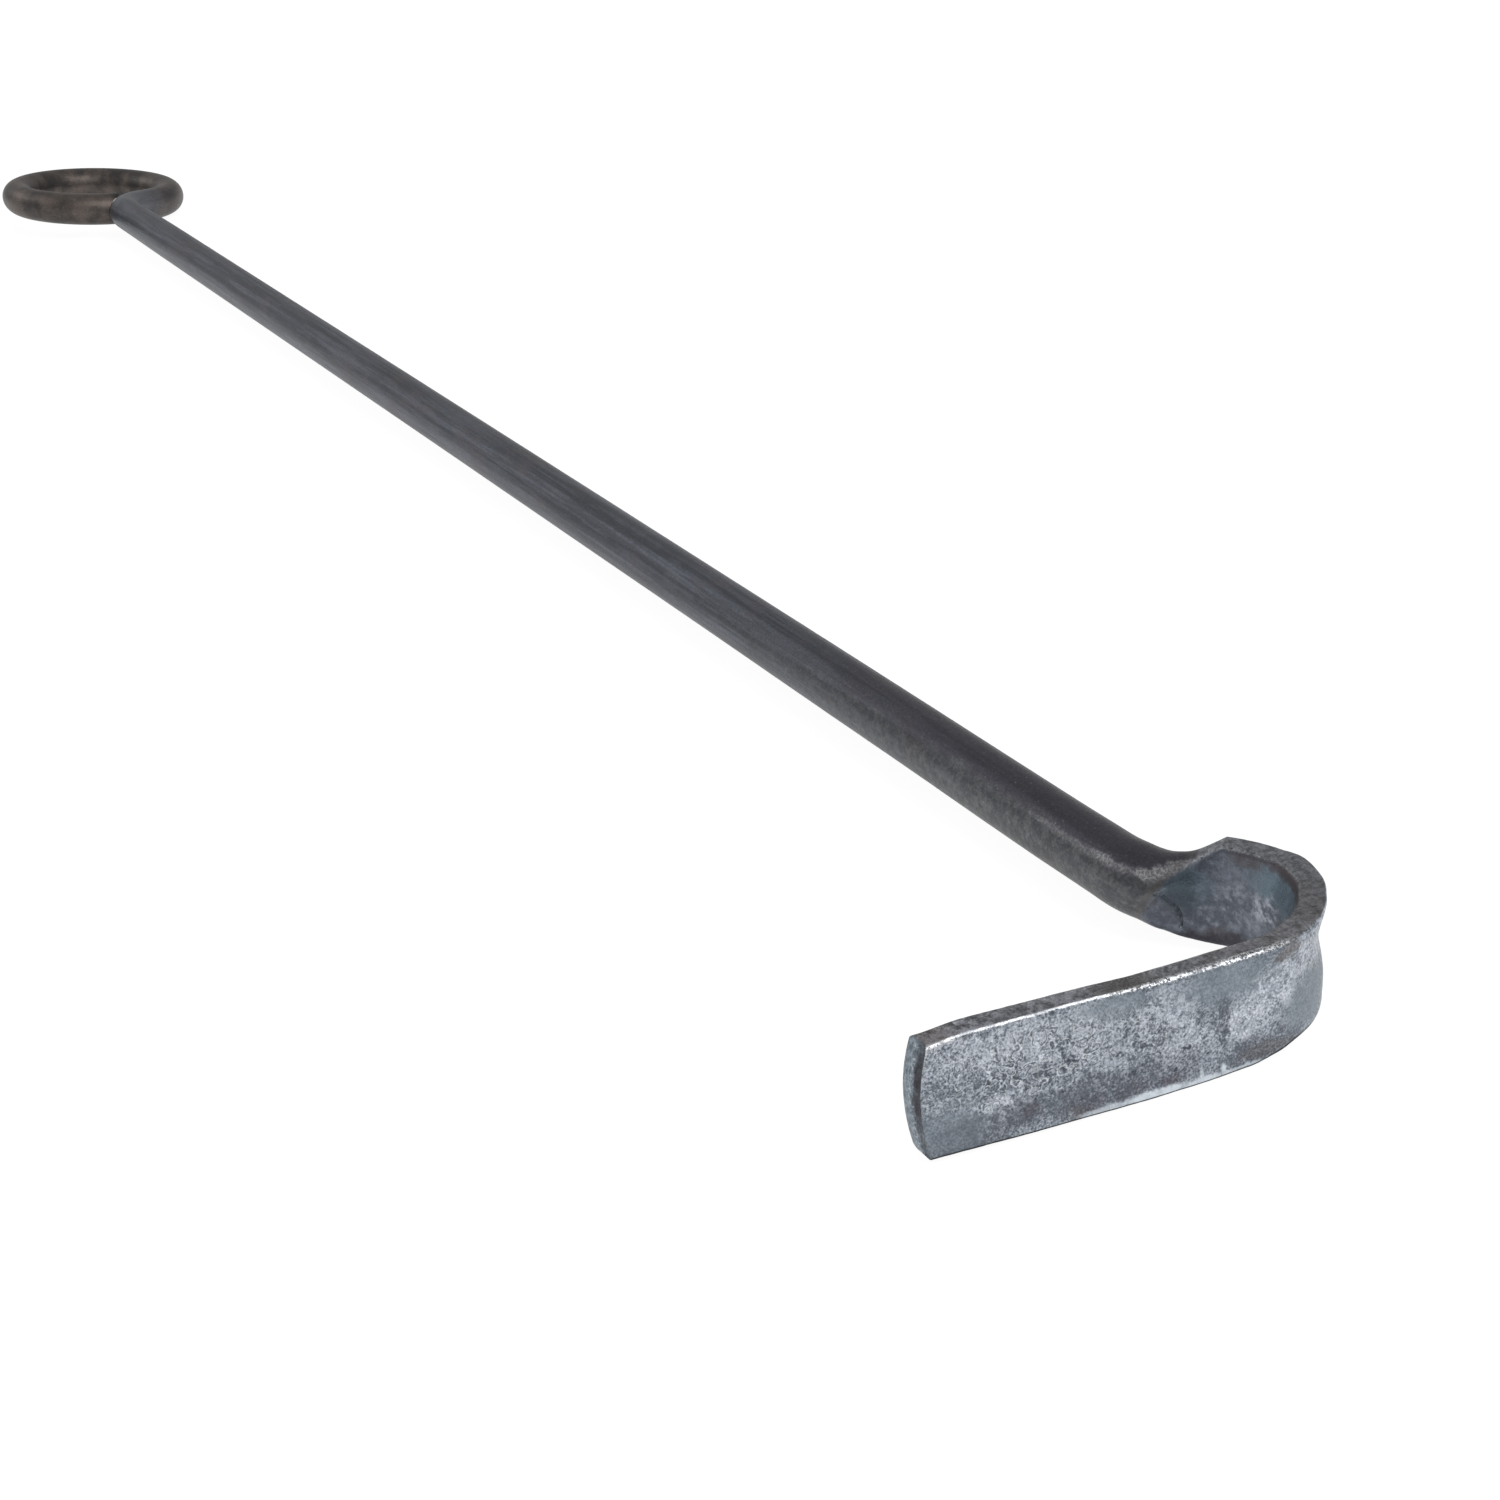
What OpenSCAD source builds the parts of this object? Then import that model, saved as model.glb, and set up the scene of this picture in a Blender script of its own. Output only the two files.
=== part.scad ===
// A charcoal rake, hand forged from one round steel bar. The sections are
// named for the work done on each: the ring handle, its root where the bar is
// bent aside, the straight shank, the neck where the bar is bent and
// flattened, the crook and the blade. Blade at the front, ring at the back,
// +Z up. The rake lies as it does on a table, on the blade's lower edge and
// the ring's low side.

/* [Bar] */
// Diameter of the round bar
bar_d = 12; // [10:0.5:14]
// Length of the straight round shank
shank_length = 635; // [400:5:900]
// Height of the shank's axis over the blade's lower edge
shank_height = 9.3; // [8:0.1:11]

/* [Ring handle] */
// Diameter of the hole in the ring
ring_hole_d = 46; // [36:1:60]
// Inside radius of the bend where the shank turns into the ring
ring_bend_r = 12; // [8:0.5:16]
// How far the ring's centre stands off the shank's axis, to its closing side
ring_offset = 2; // [0:0.5:5]
// Gap between the bar's cut end and the shank that it closes on
ring_gap = 0.4; // [0.2:0.1:1]

/* [Neck] */
// Radius of the neck's bend along the centre line
neck_r = 27; // [22:0.5:36]
// Angle through which the neck turns aside
neck_angle = 36; // [30:1:42]
// Straight stretch between the neck's bend and the crook
neck_straight = 4; // [2:0.5:8]
// Distance along the neck at which the hammered flat begins
flat_start = 6; // [3:0.5:8]
// Length of the shoulder where the round bar thins to the strap
shoulder_length = 8; // [5:0.5:10]
// Length over which the strap's rounded edges square up
edge_length = 6; // [3:0.5:8]

/* [Strap] */
// Width of the flat strap, which stands upright in the crook and blade
strap_w = 21.3; // [17:0.1:26]
// Thickness of the strap
strap_t = 5; // [3.6:0.1:6.5]
// Radius worn onto the strap's long edges
strap_edge_r = 1.2; // [0.5:0.1:1.6]

/* [Crook] */
// Inside radius of the crook
crook_in_r = 16; // [12:0.5:22]
// How far the crook's faces are dished inwards at half height
crook_dish = 1.2; // [0:0.1:2]

/* [Blade] */
// Length of the blade from the crook to its free end
blade_length = 60; // [40:1:90]
// How far the blade leans back past a right angle to the shank
blade_lean = 5; // [0:0.5:10]
// Height of the blade's bow, its middle standing forward of its ends
blade_bow = 0.5; // [0.3:0.1:1.5]
// How far the middle of the blade's free end stands proud of its corners
end_crown = 1.5; // [0.5:0.1:2.5]
// Chamfer worn on the two corners of the free end
end_chamfer = 1.4; // [0.5:0.1:2]

/* [Hidden] */

// Smoothness of the round bar, and of the blade's long shallow arc
bar_fn = 96;
bow_fn = 1440;
// Points on each corner of a swept section, and on each tall side of the crook
corner_points = 6;
side_points = 5;
// Sections along the neck and along the crook
neck_steps = 22;
crook_steps = 27;
// Power of the curve by which the neck spreads to the strap's width
flare_power = 1.5;
// Extra length that a cutting shape runs past what it cuts
past = 5;

bar_r = bar_d / 2;
strap_half_t = strap_t / 2;
strap_mid_z = strap_w / 2;

// The ring lies in a plane turned about the shank's axis, until its low
// side reaches the level of the blade's lower edge.
ring_r = ring_hole_d / 2 + bar_r;
ring_bend_line_r = ring_bend_r + bar_r;
ring_tilt = asin((shank_height - bar_r) / (ring_r - ring_offset));
ring_centre_y = sqrt(pow(ring_r + ring_bend_line_r, 2) - pow(ring_bend_line_r + ring_offset, 2));
ring_bend_angle = atan2(ring_centre_y, ring_bend_line_r + ring_offset);
// The bar's cut end stops where the ring comes back to the shank's axis
ring_end_angle = 270 + asin(ring_offset / ring_r);
// The shape that cuts that end stops this many degrees short of the ring's start
ring_cut_short = 8;

// Plan of the bent end, with the neck's start at the origin of the plan
crook_r = crook_in_r + strap_half_t;
crook_turn = neck_angle + 90 + blade_lean;
neck_bend_length = neck_r * neck_angle * PI / 180;
neck_length = neck_bend_length + neck_straight;
crook_centre = neck_point(neck_length) - crook_r * [cos(neck_angle), sin(neck_angle)];
bow_r = pow(blade_length, 2) / (8 * blade_bow);
bow_angle = blade_length / bow_r * 180 / PI;
bow_centre = crook_centre + (bow_r - crook_r) * [sin(blade_lean), cos(blade_lean)];
end_lean = blade_lean + bow_angle;
end_point = bow_centre - bow_r * [sin(end_lean), cos(end_lean)];
end_crown_r = (pow(strap_mid_z, 2) + pow(end_crown, 2)) / (2 * end_crown);

// The origin is under the middle of the whole rake, at the level it rests on
reach_left = end_point.x - strap_half_t * sin(end_lean);
reach_right = max((ring_r - ring_offset) * cos(ring_tilt) + bar_r,
                  crook_centre.x + crook_r + strap_half_t);
reach_front = crook_centre.y - crook_r - strap_half_t;
reach_back = shank_length + ring_centre_y + ring_r + bar_r;
origin_x = (reach_left + reach_right) / 2;
origin_y = (reach_front + reach_back) / 2;

// Point and turn of the neck's centre line at a distance from its start
function neck_turn(s) = min(s / neck_bend_length, 1) * neck_angle;
function neck_point(s) =
    let (turn = neck_turn(s), run = max(s - neck_bend_length, 0))
    [neck_r * (1 - cos(turn)) + run * sin(turn), -neck_r * sin(turn) - run * cos(turn)];

function smooth(k) = let (c = min(max(k, 0), 1)) c * c * (3 - 2 * c);

// Round-cornered outline of half width a and half height b. With a, b and
// the corner radius all equal it is a circle, so the bar grows into the strap.
// Sides above 0 adds that many points to each tall side.
function outline(a, b, corner, sides = 0) =
    let (half_step = 45 / corner_points, r = corner / cos(half_step))
    [for (q = [0:3])
        let (cx = (q == 0 || q == 3 ? 1 : -1) * (a - corner),
             cz = (q < 2 ? 1 : -1) * (b - corner))
        each concat(
            [for (i = [0:corner_points - 1])
                let (turn = 90 * q + (2 * i + 1) * half_step)
                [cx + r * cos(turn), cz + r * sin(turn)]],
            q % 2 == 0 ? [] : [for (i = [1:1:sides])
                [(q == 1 ? -a : a), (q == 1 ? 1 : -1) * (b - corner) * (1 - 2 * i / (sides + 1))]])];

// Section of the neck at a distance from its start
function neck_outline(s) =
    let (thin = smooth((s - flat_start) / shoulder_length),
         spread = pow(max(s - flat_start, 0) / (neck_length - flat_start), flare_power),
         square_up = smooth((s - neck_length + edge_length) / edge_length),
         a = bar_r + (strap_half_t - bar_r) * thin,
         b = bar_r + (strap_mid_z - bar_r) * spread,
         mid_z = shank_height + (strap_mid_z - shank_height) * spread,
         corner = min(a, b) + (strap_edge_r - min(a, b)) * square_up)
    [for (p = outline(a, b, corner)) [p.x, p.y + mid_z]];

// Section of the crook at a turn from its start, pulled towards the bend's
// centre at half height by the dish, which fades out at both ends
function crook_outline(turn) =
    let (dish = crook_dish * pow(sin(180 * turn / crook_turn), 2))
    [for (p = outline(strap_half_t, strap_mid_z, strap_edge_r, side_points))
        [p.x - dish * (1 - pow(p.y / strap_mid_z, 2)), p.y + strap_mid_z]];

// Closed solid through a list of rings of points, with a middle point in each
// end for its cap to fan out from
module skin(rings) {
    n = len(rings[0]);
    last = len(rings) - 1;
    start_middle = (last + 1) * n;
    end_middle = start_middle + 1;
    function at(k, i) = k * n + i % n;
    function middle(ring) = [for (axis = [0:2]) ([for (p = ring) p[axis]] * [for (p = ring) 1]) / n];
    sides = [for (k = [0:last - 1]) for (i = [0:n - 1]) each [
        [at(k, i), at(k, i + 1), at(k + 1, i)],
        [at(k, i + 1), at(k + 1, i + 1), at(k + 1, i)]]];
    caps = [for (i = [0:n - 1]) each [
        [start_middle, at(0, i + 1), at(0, i)],
        [end_middle, at(last, i), at(last, i + 1)]]];
    polyhedron(points = concat([for (ring = rings) each ring], [middle(rings[0]), middle(rings[last])]),
               faces = concat(sides, caps));
}

// Moves the plan of the rake so that its origin lies under its middle
module placed() {
    translate([-origin_x, -origin_y, 0]) children();
}

// Bar bent to an arc about the origin, from start to start + sweep degrees
module bent_bar(line_r, start, sweep, tube_r) {
    rotate([0, 0, start])
        rotate_extrude(angle = sweep, $fn = bar_fn)
            translate([line_r, 0]) circle(r = tube_r, $fn = bar_fn);
}

// Moves the plan of the ring to the shank's end, turned about the shank's axis
module placed_ring() {
    placed() translate([0, shank_length, shank_height]) rotate([0, ring_tilt, 0]) children();
}

// The bend that joins the shank to the ring, less a short angle at the ring
module root_bend(tube_r, short = 0) {
    translate([ring_bend_line_r, 0, 0])
        bent_bar(ring_bend_line_r, 180 - ring_bend_angle + short, ring_bend_angle - short, tube_r);
}

module ring_handle() {
    color([0.26, 0.25, 0.24])
    placed_ring() difference() {
        translate([-ring_offset, ring_centre_y, 0])
            bent_bar(ring_r, -ring_bend_angle, ring_bend_angle + ring_end_angle, bar_r);
        root_bend(bar_r + ring_gap, ring_cut_short);
    }
}

module ring_root() {
    color([0.27, 0.26, 0.26])
    placed_ring() root_bend(bar_r);
}

module shank() {
    color([0.27, 0.27, 0.28])
    placed() translate([0, 0, shank_height]) rotate([-90, 0, 0])
        cylinder(r = bar_r, h = shank_length, $fn = bar_fn);
}

module neck() {
    color([0.33, 0.33, 0.34])
    placed() skin([for (k = [0:neck_steps])
        let (s = neck_length * k / neck_steps,
             centre = neck_point(s),
             turn = neck_turn(s))
        [for (p = neck_outline(s)) [centre.x + p.x * cos(turn), centre.y + p.x * sin(turn), p.y]]]);
}

module crook() {
    color([0.42, 0.43, 0.45])
    placed() translate([crook_centre.x, crook_centre.y, 0])
        skin([for (k = [0:crook_steps])
            let (turn = crook_turn * k / crook_steps,
                 place = neck_angle - turn)
            [for (p = crook_outline(turn)) [(crook_r + p.x) * cos(place), (crook_r + p.x) * sin(place), p.y]]]);
}

// Section of the blade, with true arcs on its four edges
module strap_profile() {
    flat_t = strap_t - 2 * strap_edge_r;
    flat_w = strap_w - 2 * strap_edge_r;
    translate([-flat_t / 2, 0]) square([flat_t, strap_w]);
    translate([-strap_half_t, strap_edge_r]) square([strap_t, flat_w]);
    for (x = [-flat_t / 2, flat_t / 2], y = [strap_edge_r, strap_w - strap_edge_r])
        translate([x, y]) circle(r = strap_edge_r, $fn = bar_fn);
}

// What is cut from the square end: all that lies outside the crowned outline,
// with the end's middle at the origin and the blade reaching to -X
module end_waste() {
    wide = strap_w + 2 * past;
    deep = strap_t + 2 * past;
    difference() {
        translate([-2 * end_crown, -deep / 2, -wide / 2]) cube([2 * end_crown + past, deep, wide]);
        translate([-end_crown_r, 0, 0]) rotate([90, 0, 0])
            cylinder(r = end_crown_r, h = deep + past, center = true, $fn = bow_fn / 4);
    }
    for (side = [-1, 1])
        translate([-end_crown, 0, side * strap_mid_z]) rotate([0, -side * 45, 0])
            translate([-end_chamfer / sqrt(2), -deep / 2, -past]) cube([past, deep, 2 * past]);
}

module blade() {
    color([0.52, 0.53, 0.55])
    placed() difference() {
        translate([bow_centre.x, bow_centre.y, 0])
            rotate([0, 0, -90 - end_lean - end_crown / bow_r * 180 / PI])
                rotate_extrude(angle = bow_angle + end_crown / bow_r * 180 / PI, $fn = bow_fn)
                    translate([bow_r, 0]) strap_profile();
        translate([end_point.x, end_point.y, strap_mid_z]) rotate([0, 0, 180 - end_lean])
            end_waste();
    }
}

ring_handle();
ring_root();
shank();
neck();
crook();
blade();
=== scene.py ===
# %% [markdown]
# # A forged charcoal rake
# This tool is one bar of round steel, worked by hand in a fire. One end is hammered into a flat
# strap, and the strap is bent into a hook whose last straight part is the blade. The other end is
# rolled into a ring, to hold the rake and to hang it by. Nothing is welded, screwed or riveted.
# The lesson follows the smith: straight blanks are forged first, then one Geometry Nodes tree
# bends them all along one path, and the skin of fire scale and worn steel comes last.

# %% Load the solids that fix every size and place
import math

import bpy
import numpy as np
from mathutils import Matrix, Vector


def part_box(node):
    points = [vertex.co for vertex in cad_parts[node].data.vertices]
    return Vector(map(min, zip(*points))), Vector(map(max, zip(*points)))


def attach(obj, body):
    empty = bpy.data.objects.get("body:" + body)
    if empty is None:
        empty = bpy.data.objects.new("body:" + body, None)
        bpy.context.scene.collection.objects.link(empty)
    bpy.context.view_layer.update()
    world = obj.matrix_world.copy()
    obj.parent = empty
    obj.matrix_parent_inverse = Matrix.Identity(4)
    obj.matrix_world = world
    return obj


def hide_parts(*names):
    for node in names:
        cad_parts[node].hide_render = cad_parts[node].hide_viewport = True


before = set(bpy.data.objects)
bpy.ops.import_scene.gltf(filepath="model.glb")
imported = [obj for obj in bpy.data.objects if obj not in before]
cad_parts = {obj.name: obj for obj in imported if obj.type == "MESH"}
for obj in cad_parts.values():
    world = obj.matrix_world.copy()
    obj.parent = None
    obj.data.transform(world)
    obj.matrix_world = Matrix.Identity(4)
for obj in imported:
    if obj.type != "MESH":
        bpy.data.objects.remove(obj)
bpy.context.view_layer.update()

shank_low, shank_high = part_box("shank")

# %% [markdown]
# ## Sizes
# The solids say where the round shank lies. The other sizes are the smith's own: the bar, the
# strap that it is drawn to, and the bends. They are the same as in the solids, because the looks
# may not change the object. Everything is in metres, so a size in millimetres is multiplied by MM.

# %% Name the sizes of the bar and its bends
MM = 0.001
BAR_R = 6 * MM
STRAP_HALF_T = 2.5 * MM
STRAP_HALF_W = 10.65 * MM
SHANK_X = (shank_low.x + shank_high.x) / 2
SHANK_Z = (shank_low.z + shank_high.z) / 2
SHANK_LENGTH = shank_high.y - shank_low.y
STRAP_MID = STRAP_HALF_W - SHANK_Z

NECK_R = 27 * MM
NECK_ANGLE = 36
NECK_STRAIGHT = 4 * MM
FLAT_START = 6 * MM
EDGE_LENGTH = 6 * MM
CROOK_R = 16 * MM + STRAP_HALF_T
CROOK_DISH = 1.2 * MM
BLADE_LENGTH = 60 * MM
BLADE_LEAN = 5
BOW_R = 900 * MM
RING_R = 23 * MM + BAR_R
ROOT_R = 12 * MM + BAR_R
RING_OFFSET = 2 * MM
RING_GAP = 0.4 * MM

CROOK_TURN = NECK_ANGLE + 90 + BLADE_LEAN
RING_TILT = math.asin((SHANK_Z - BAR_R) / (RING_R - RING_OFFSET))
RING_CENTRE_Y = math.sqrt((RING_R + ROOT_R) ** 2 - (ROOT_R + RING_OFFSET) ** 2)
ROOT_TURN = math.degrees(math.atan2(RING_CENTRE_Y, ROOT_R + RING_OFFSET))
RING_END = 270 + math.degrees(math.asin(RING_OFFSET / RING_R))
print("the shank is", round(SHANK_LENGTH / MM, 2), "mm long at a height of", round(SHANK_Z / MM, 2))

# %% [markdown]
# ## The camera
# The photograph looks along the bar from close to the blade, so the blade is large and the ring
# is small. The camera's place and angles were worked out from the object's outline, and its lens
# is given for a sensor 36 mm wide. Roll is the small tilt of the camera about its own axis.

# %% Place the camera
CAMERA_PLACE = Vector((-201.77, -628.62, 217.69)) * MM
CAMERA_YAW = math.radians(26.724)
CAMERA_PITCH = math.radians(26.238)
CAMERA_ROLL = math.radians(4.549)
PHOTO_SIDE = 1500
FOCAL_PIXELS = 2404.1
SENSOR_WIDTH = 36.0


def add_camera():
    """The camera looks along +Y, turned right by its yaw, down by its pitch and then rolled."""
    data = bpy.data.cameras.new("camera")
    data.sensor_width = SENSOR_WIDTH
    data.lens = FOCAL_PIXELS * SENSOR_WIDTH / PHOTO_SIDE
    data.clip_start = 0.01
    data.clip_end = 100
    camera = bpy.data.objects.new("camera", data)
    turn = Matrix.Rotation(-CAMERA_YAW, 4, "Z") @ Matrix.Rotation(math.pi / 2 - CAMERA_PITCH, 4, "X")
    camera.matrix_world = Matrix.Translation(CAMERA_PLACE) @ turn @ Matrix.Rotation(-CAMERA_ROLL, 4, "Z")
    bpy.context.scene.collection.objects.link(camera)
    bpy.context.scene.camera = camera
    return camera


camera = add_camera()
print("lens", round(camera.data.lens, 2), "mm")

# %% [markdown]
# ## The path of the bar
# Every bend of the rake is a round one, so the middle line of the bar is a chain of straight and
# round legs. It is walked like a route on a map: go so far while turning so much. The blade, the
# crook and the neck lie flat. The ring lies in a plane that is tipped a little about the shank's
# axis, so that its edge and the blade both touch the ground.

# %% Walk the legs and join them into one path
PATH_STEP = 0.4 * MM
# The path starts a little before the blade's free end, because the end is cut on a slant.
PATH_LEAD = 1 * MM


def walk(legs):
    """Points along the legs from (0, 0), heading along +Y. A leg is a length and a turn to the left."""
    place = np.zeros(2)
    heading = math.pi / 2
    points = [place[None]]
    for length, turn in legs:
        turn = math.radians(turn)
        share = np.linspace(0, 1, math.ceil(length / PATH_STEP) + 1)[1:]
        if turn:
            ahead = length / turn * np.sin(turn * share)
            aside = length / turn * (1 - np.cos(turn * share))
        else:
            ahead = length * share
            aside = 0 * share
        forward = np.array([math.cos(heading), math.sin(heading)])
        left = np.array([-forward[1], forward[0]])
        points.append(place + ahead[:, None] * forward + aside[:, None] * left)
        place = points[-1][-1]
        heading += turn
    return np.concatenate(points)


NECK_BEND_LENGTH = NECK_R * math.radians(NECK_ANGLE)
NECK_LENGTH = NECK_BEND_LENGTH + NECK_STRAIGHT
CROOK_LENGTH = CROOK_R * math.radians(CROOK_TURN)
ROOT_LENGTH = ROOT_R * math.radians(ROOT_TURN)
RING_LENGTH = RING_R * math.radians(RING_END + ROOT_TURN)

head_legs = [
    (NECK_BEND_LENGTH, NECK_ANGLE),
    (NECK_STRAIGHT, 0),
    (CROOK_LENGTH, -CROOK_TURN),
    (BLADE_LENGTH + PATH_LEAD, -math.degrees((BLADE_LENGTH + PATH_LEAD) / BOW_R)),
]
ring_legs = [(ROOT_LENGTH, -ROOT_TURN), (RING_LENGTH, RING_END + ROOT_TURN)]

# The head is walked from the shank with the page turned round, because it heads along -Y.
head = -walk(head_legs)[::-1]
head = np.column_stack([head[:, 0], head[:, 1] + shank_low.y, 0 * head[:, 0]])
ring = walk(ring_legs)
ring = np.column_stack(
    [
        ring[:, 0] * math.cos(RING_TILT),
        ring[:, 1] + shank_high.y,
        -ring[:, 0] * math.sin(RING_TILT),
    ]
)
path_points = np.concatenate([head, ring]) + [SHANK_X, 0, SHANK_Z]

# How far along the bar each piece starts, from the blade's free end.
CROOK_START = BLADE_LENGTH
NECK_START = CROOK_START + CROOK_LENGTH
SHANK_START = NECK_START + NECK_LENGTH
ROOT_START = SHANK_START + SHANK_LENGTH
RING_START = ROOT_START + ROOT_LENGTH
BAR_END = RING_START + RING_LENGTH
print(len(path_points), "points on a path of", round(BAR_END / MM, 1), "mm")


def path_curve():
    """The path as a curve object, which the bending tree reads."""
    curve = bpy.data.curves.new("bar_path", "CURVE")
    curve.dimensions = "3D"
    curve.twist_mode = "MINIMUM"
    spline = curve.splines.new("POLY")
    spline.points.add(len(path_points) - 1)
    spline.points.foreach_set("co", np.column_stack([path_points, np.ones(len(path_points))]).ravel())
    made = bpy.data.objects.new("bar_path", curve)
    bpy.context.scene.collection.objects.link(made)
    return made


bar_path = path_curve()

# %% [markdown]
# ## Straight blanks
# A smith draws the strap out while the bar is still straight, and so does this script. A blank is
# a stack of outlines along +Y. The outline is made of four quarters, each with its own thickness,
# height and corner radius. That one rule gives the round bar, where the corner is as large as the
# bar, and the strap, where it is small. Points crowd a little in the corners, where the light turns.

# %% Draw one outline
CORNER_SHARE = 1.8
POINTS_PER_QUARTER = 60
BAR_POINTS_PER_QUARTER = 20


def quarter(half_t, half_h, corner, share):
    """Places on a quarter outline from the middle of its side, share 0, to the middle of its top."""
    side = half_h - corner
    bend = CORNER_SHARE * corner * math.pi / 2
    length = share * (side + bend + half_t - corner)
    angle = np.clip((length - side) / max(bend, 1e-9), 0, 1) * math.pi / 2
    across = half_t - corner + corner * np.cos(angle) - np.clip(length - side - bend, 0, None)
    up = np.clip(length, None, side) + corner * np.sin(angle)
    return across, up


def outline(outer_t, inner_t, half_h, corners, points=POINTS_PER_QUARTER):
    """A closed outline. The corners go outer top, inner top, inner bottom, outer bottom."""
    rising = np.arange(points) / points
    falling = 1 - rising
    quarters = []
    for side_t, corner, share, across_sign, up_sign in (
        (outer_t, corners[0], rising, 1, 1),
        (inner_t, corners[1], falling, -1, 1),
        (inner_t, corners[2], rising, -1, -1),
        (outer_t, corners[3], falling, 1, -1),
    ):
        across, up = quarter(side_t, half_h, corner, share)
        quarters.append(np.column_stack([across_sign * across, up_sign * up]))
    return np.concatenate(quarters)


def round_outline():
    """The outline of the round bar."""
    return outline(BAR_R, BAR_R, BAR_R, [BAR_R] * 4, BAR_POINTS_PER_QUARTER)


print("a strap outline has", len(outline(1, 1, 4, [0.5] * 4)), "points")

# %% [markdown]
# A blank becomes a closed mesh: skins between neighbouring outlines, and a ladder of faces over
# each end. Every point also keeps the way that is outwards there, so that hammer marks can be sunk
# straight in, and neighbouring pieces stay joined along their shared outline.

# %% Turn a stack of outlines into a closed blank
def outward_ways(rings):
    """The unit direction out of the bar at each point, across and up, from its neighbours."""
    step = np.roll(rings, -1, axis=1) - np.roll(rings, 1, axis=1)
    out = np.stack([step[..., 2], 0 * step[..., 1], -step[..., 0]], -1)
    return out / np.maximum(np.linalg.norm(out, axis=-1, keepdims=True), 1e-12)


def ladder(first, count, flip):
    """Faces that close a ring of points, each rung from one side to the other."""
    faces = []
    for step in range(-count // 4, count // 4):
        low = first + step % count
        high = first + (step + 1) % count
        far_low = first + (count // 2 - step) % count
        far_high = first + (count // 2 - step - 1) % count
        corners = list(dict.fromkeys([low, high, far_high, far_low]))
        faces.append(corners[::-1] if flip else corners)
    return faces


def blank(name, rings, outward=None):
    """A closed mesh object from rings of points, shaped (rings, points, 3)."""
    stack, count = rings.shape[:2]
    if outward is None:
        outward = outward_ways(rings)
    faces = []
    for ring_index in range(stack - 1):
        here = ring_index * count
        there = here + count
        for point in range(count):
            after = (point + 1) % count
            faces.append((here + point, there + point, there + after, here + after))
    faces += ladder(0, count, False)
    faces += ladder((stack - 1) * count, count, True)
    mesh = bpy.data.meshes.new(name)
    mesh.from_pydata(rings.reshape(-1, 3).tolist(), [], faces)
    mesh.attributes.new("outward", "FLOAT_VECTOR", "POINT").data.foreach_set("vector", outward.ravel())
    made = bpy.data.objects.new(name, mesh)
    bpy.context.scene.collection.objects.link(made)
    return made


def stations(start, end, step):
    """Evenly spaced places along the bar."""
    return np.linspace(start, end, math.ceil((end - start) / step) + 1)


def stack_up(places, outlines):
    """Rings from places along the bar, one each or one for each point, and their outlines."""
    outlines = np.asarray(outlines)
    along = np.broadcast_to(np.reshape(places, (len(outlines), -1)), outlines.shape[:2])
    return np.stack([outlines[..., 0], along, outlines[..., 1]], -1)


# %% [markdown]
# ## Shank, root bend and ring
# These three are the round bar, which the hand work left a little fatter towards the neck. The only
# shaped part is the ring's cut end. It was rolled round until it met the bar, so it ends in a saddle
# that fits the root bend with a hair's gap. For each line along the bar, halving the search again
# and again finds where it meets the root.

# %% Say how the round bar swells
# Hand work strays. These lists give places along the bar and how far it strays there, in millimetres.
TOP_SWELL = [(104, 0), (111, 0.35), (118, 0.55), (126, 0.3), (140, 0.2), (220, 0.3), (700, 0.2), (752, 0)]
LOW_SWELL = [
    (104, 0), (112, 0.2), (118, 0.35), (123.3, 0.45), (145, 0.7), (200, 0.45), (300, 0.25), (450, 0.1),
    (752, 0),
]


def smooth(share):
    """An even rise from 0 to 1 that starts and stops gently."""
    share = np.clip(share, 0, 1)
    return share * share * (3 - 2 * share)


def strays(along, marks):
    """A value at places along the bar, eased between marks of (along, value) in millimetres."""
    marks = np.array(marks) * MM
    after = np.clip(np.searchsorted(marks[:, 0], along, side="right"), 1, len(marks) - 1)
    start = marks[after - 1]
    end = marks[after]
    share = smooth((along - start[..., 0]) / (end[..., 0] - start[..., 0]))
    return start[..., 1] + (end[..., 1] - start[..., 1]) * share


def swollen_bar(along, points=BAR_POINTS_PER_QUARTER):
    """The round bar's outline with its swell, which is largest near the neck."""
    top = BAR_R + strays(along, TOP_SWELL)
    low = BAR_R + strays(along, LOW_SWELL)
    half_h = (top + low) / 2
    return outline(top, top, half_h, [min(top, half_h)] * 4, points) + [0, (top - low) / 2]


print("the bar is", round(float(np.ptp(swollen_bar(145 * MM)[:, 1])) / MM, 2), "mm high at 145 mm")

# %% Forge the round blanks
SHANK_STEP = 1.1 * MM
RING_STEP = 0.9 * MM
SADDLE_FADE = 25 * MM
# The share of the gap that the hammer closed where the cut end lies closest to the root.
GAP_CLOSED = 0.8
# The search for the cut end goes between these turns of the ring, in degrees, and halves so often.
SEARCH_FROM = 200
SEARCH_TO = RING_END + 15
SEARCH_ROUNDS = 40


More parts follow.
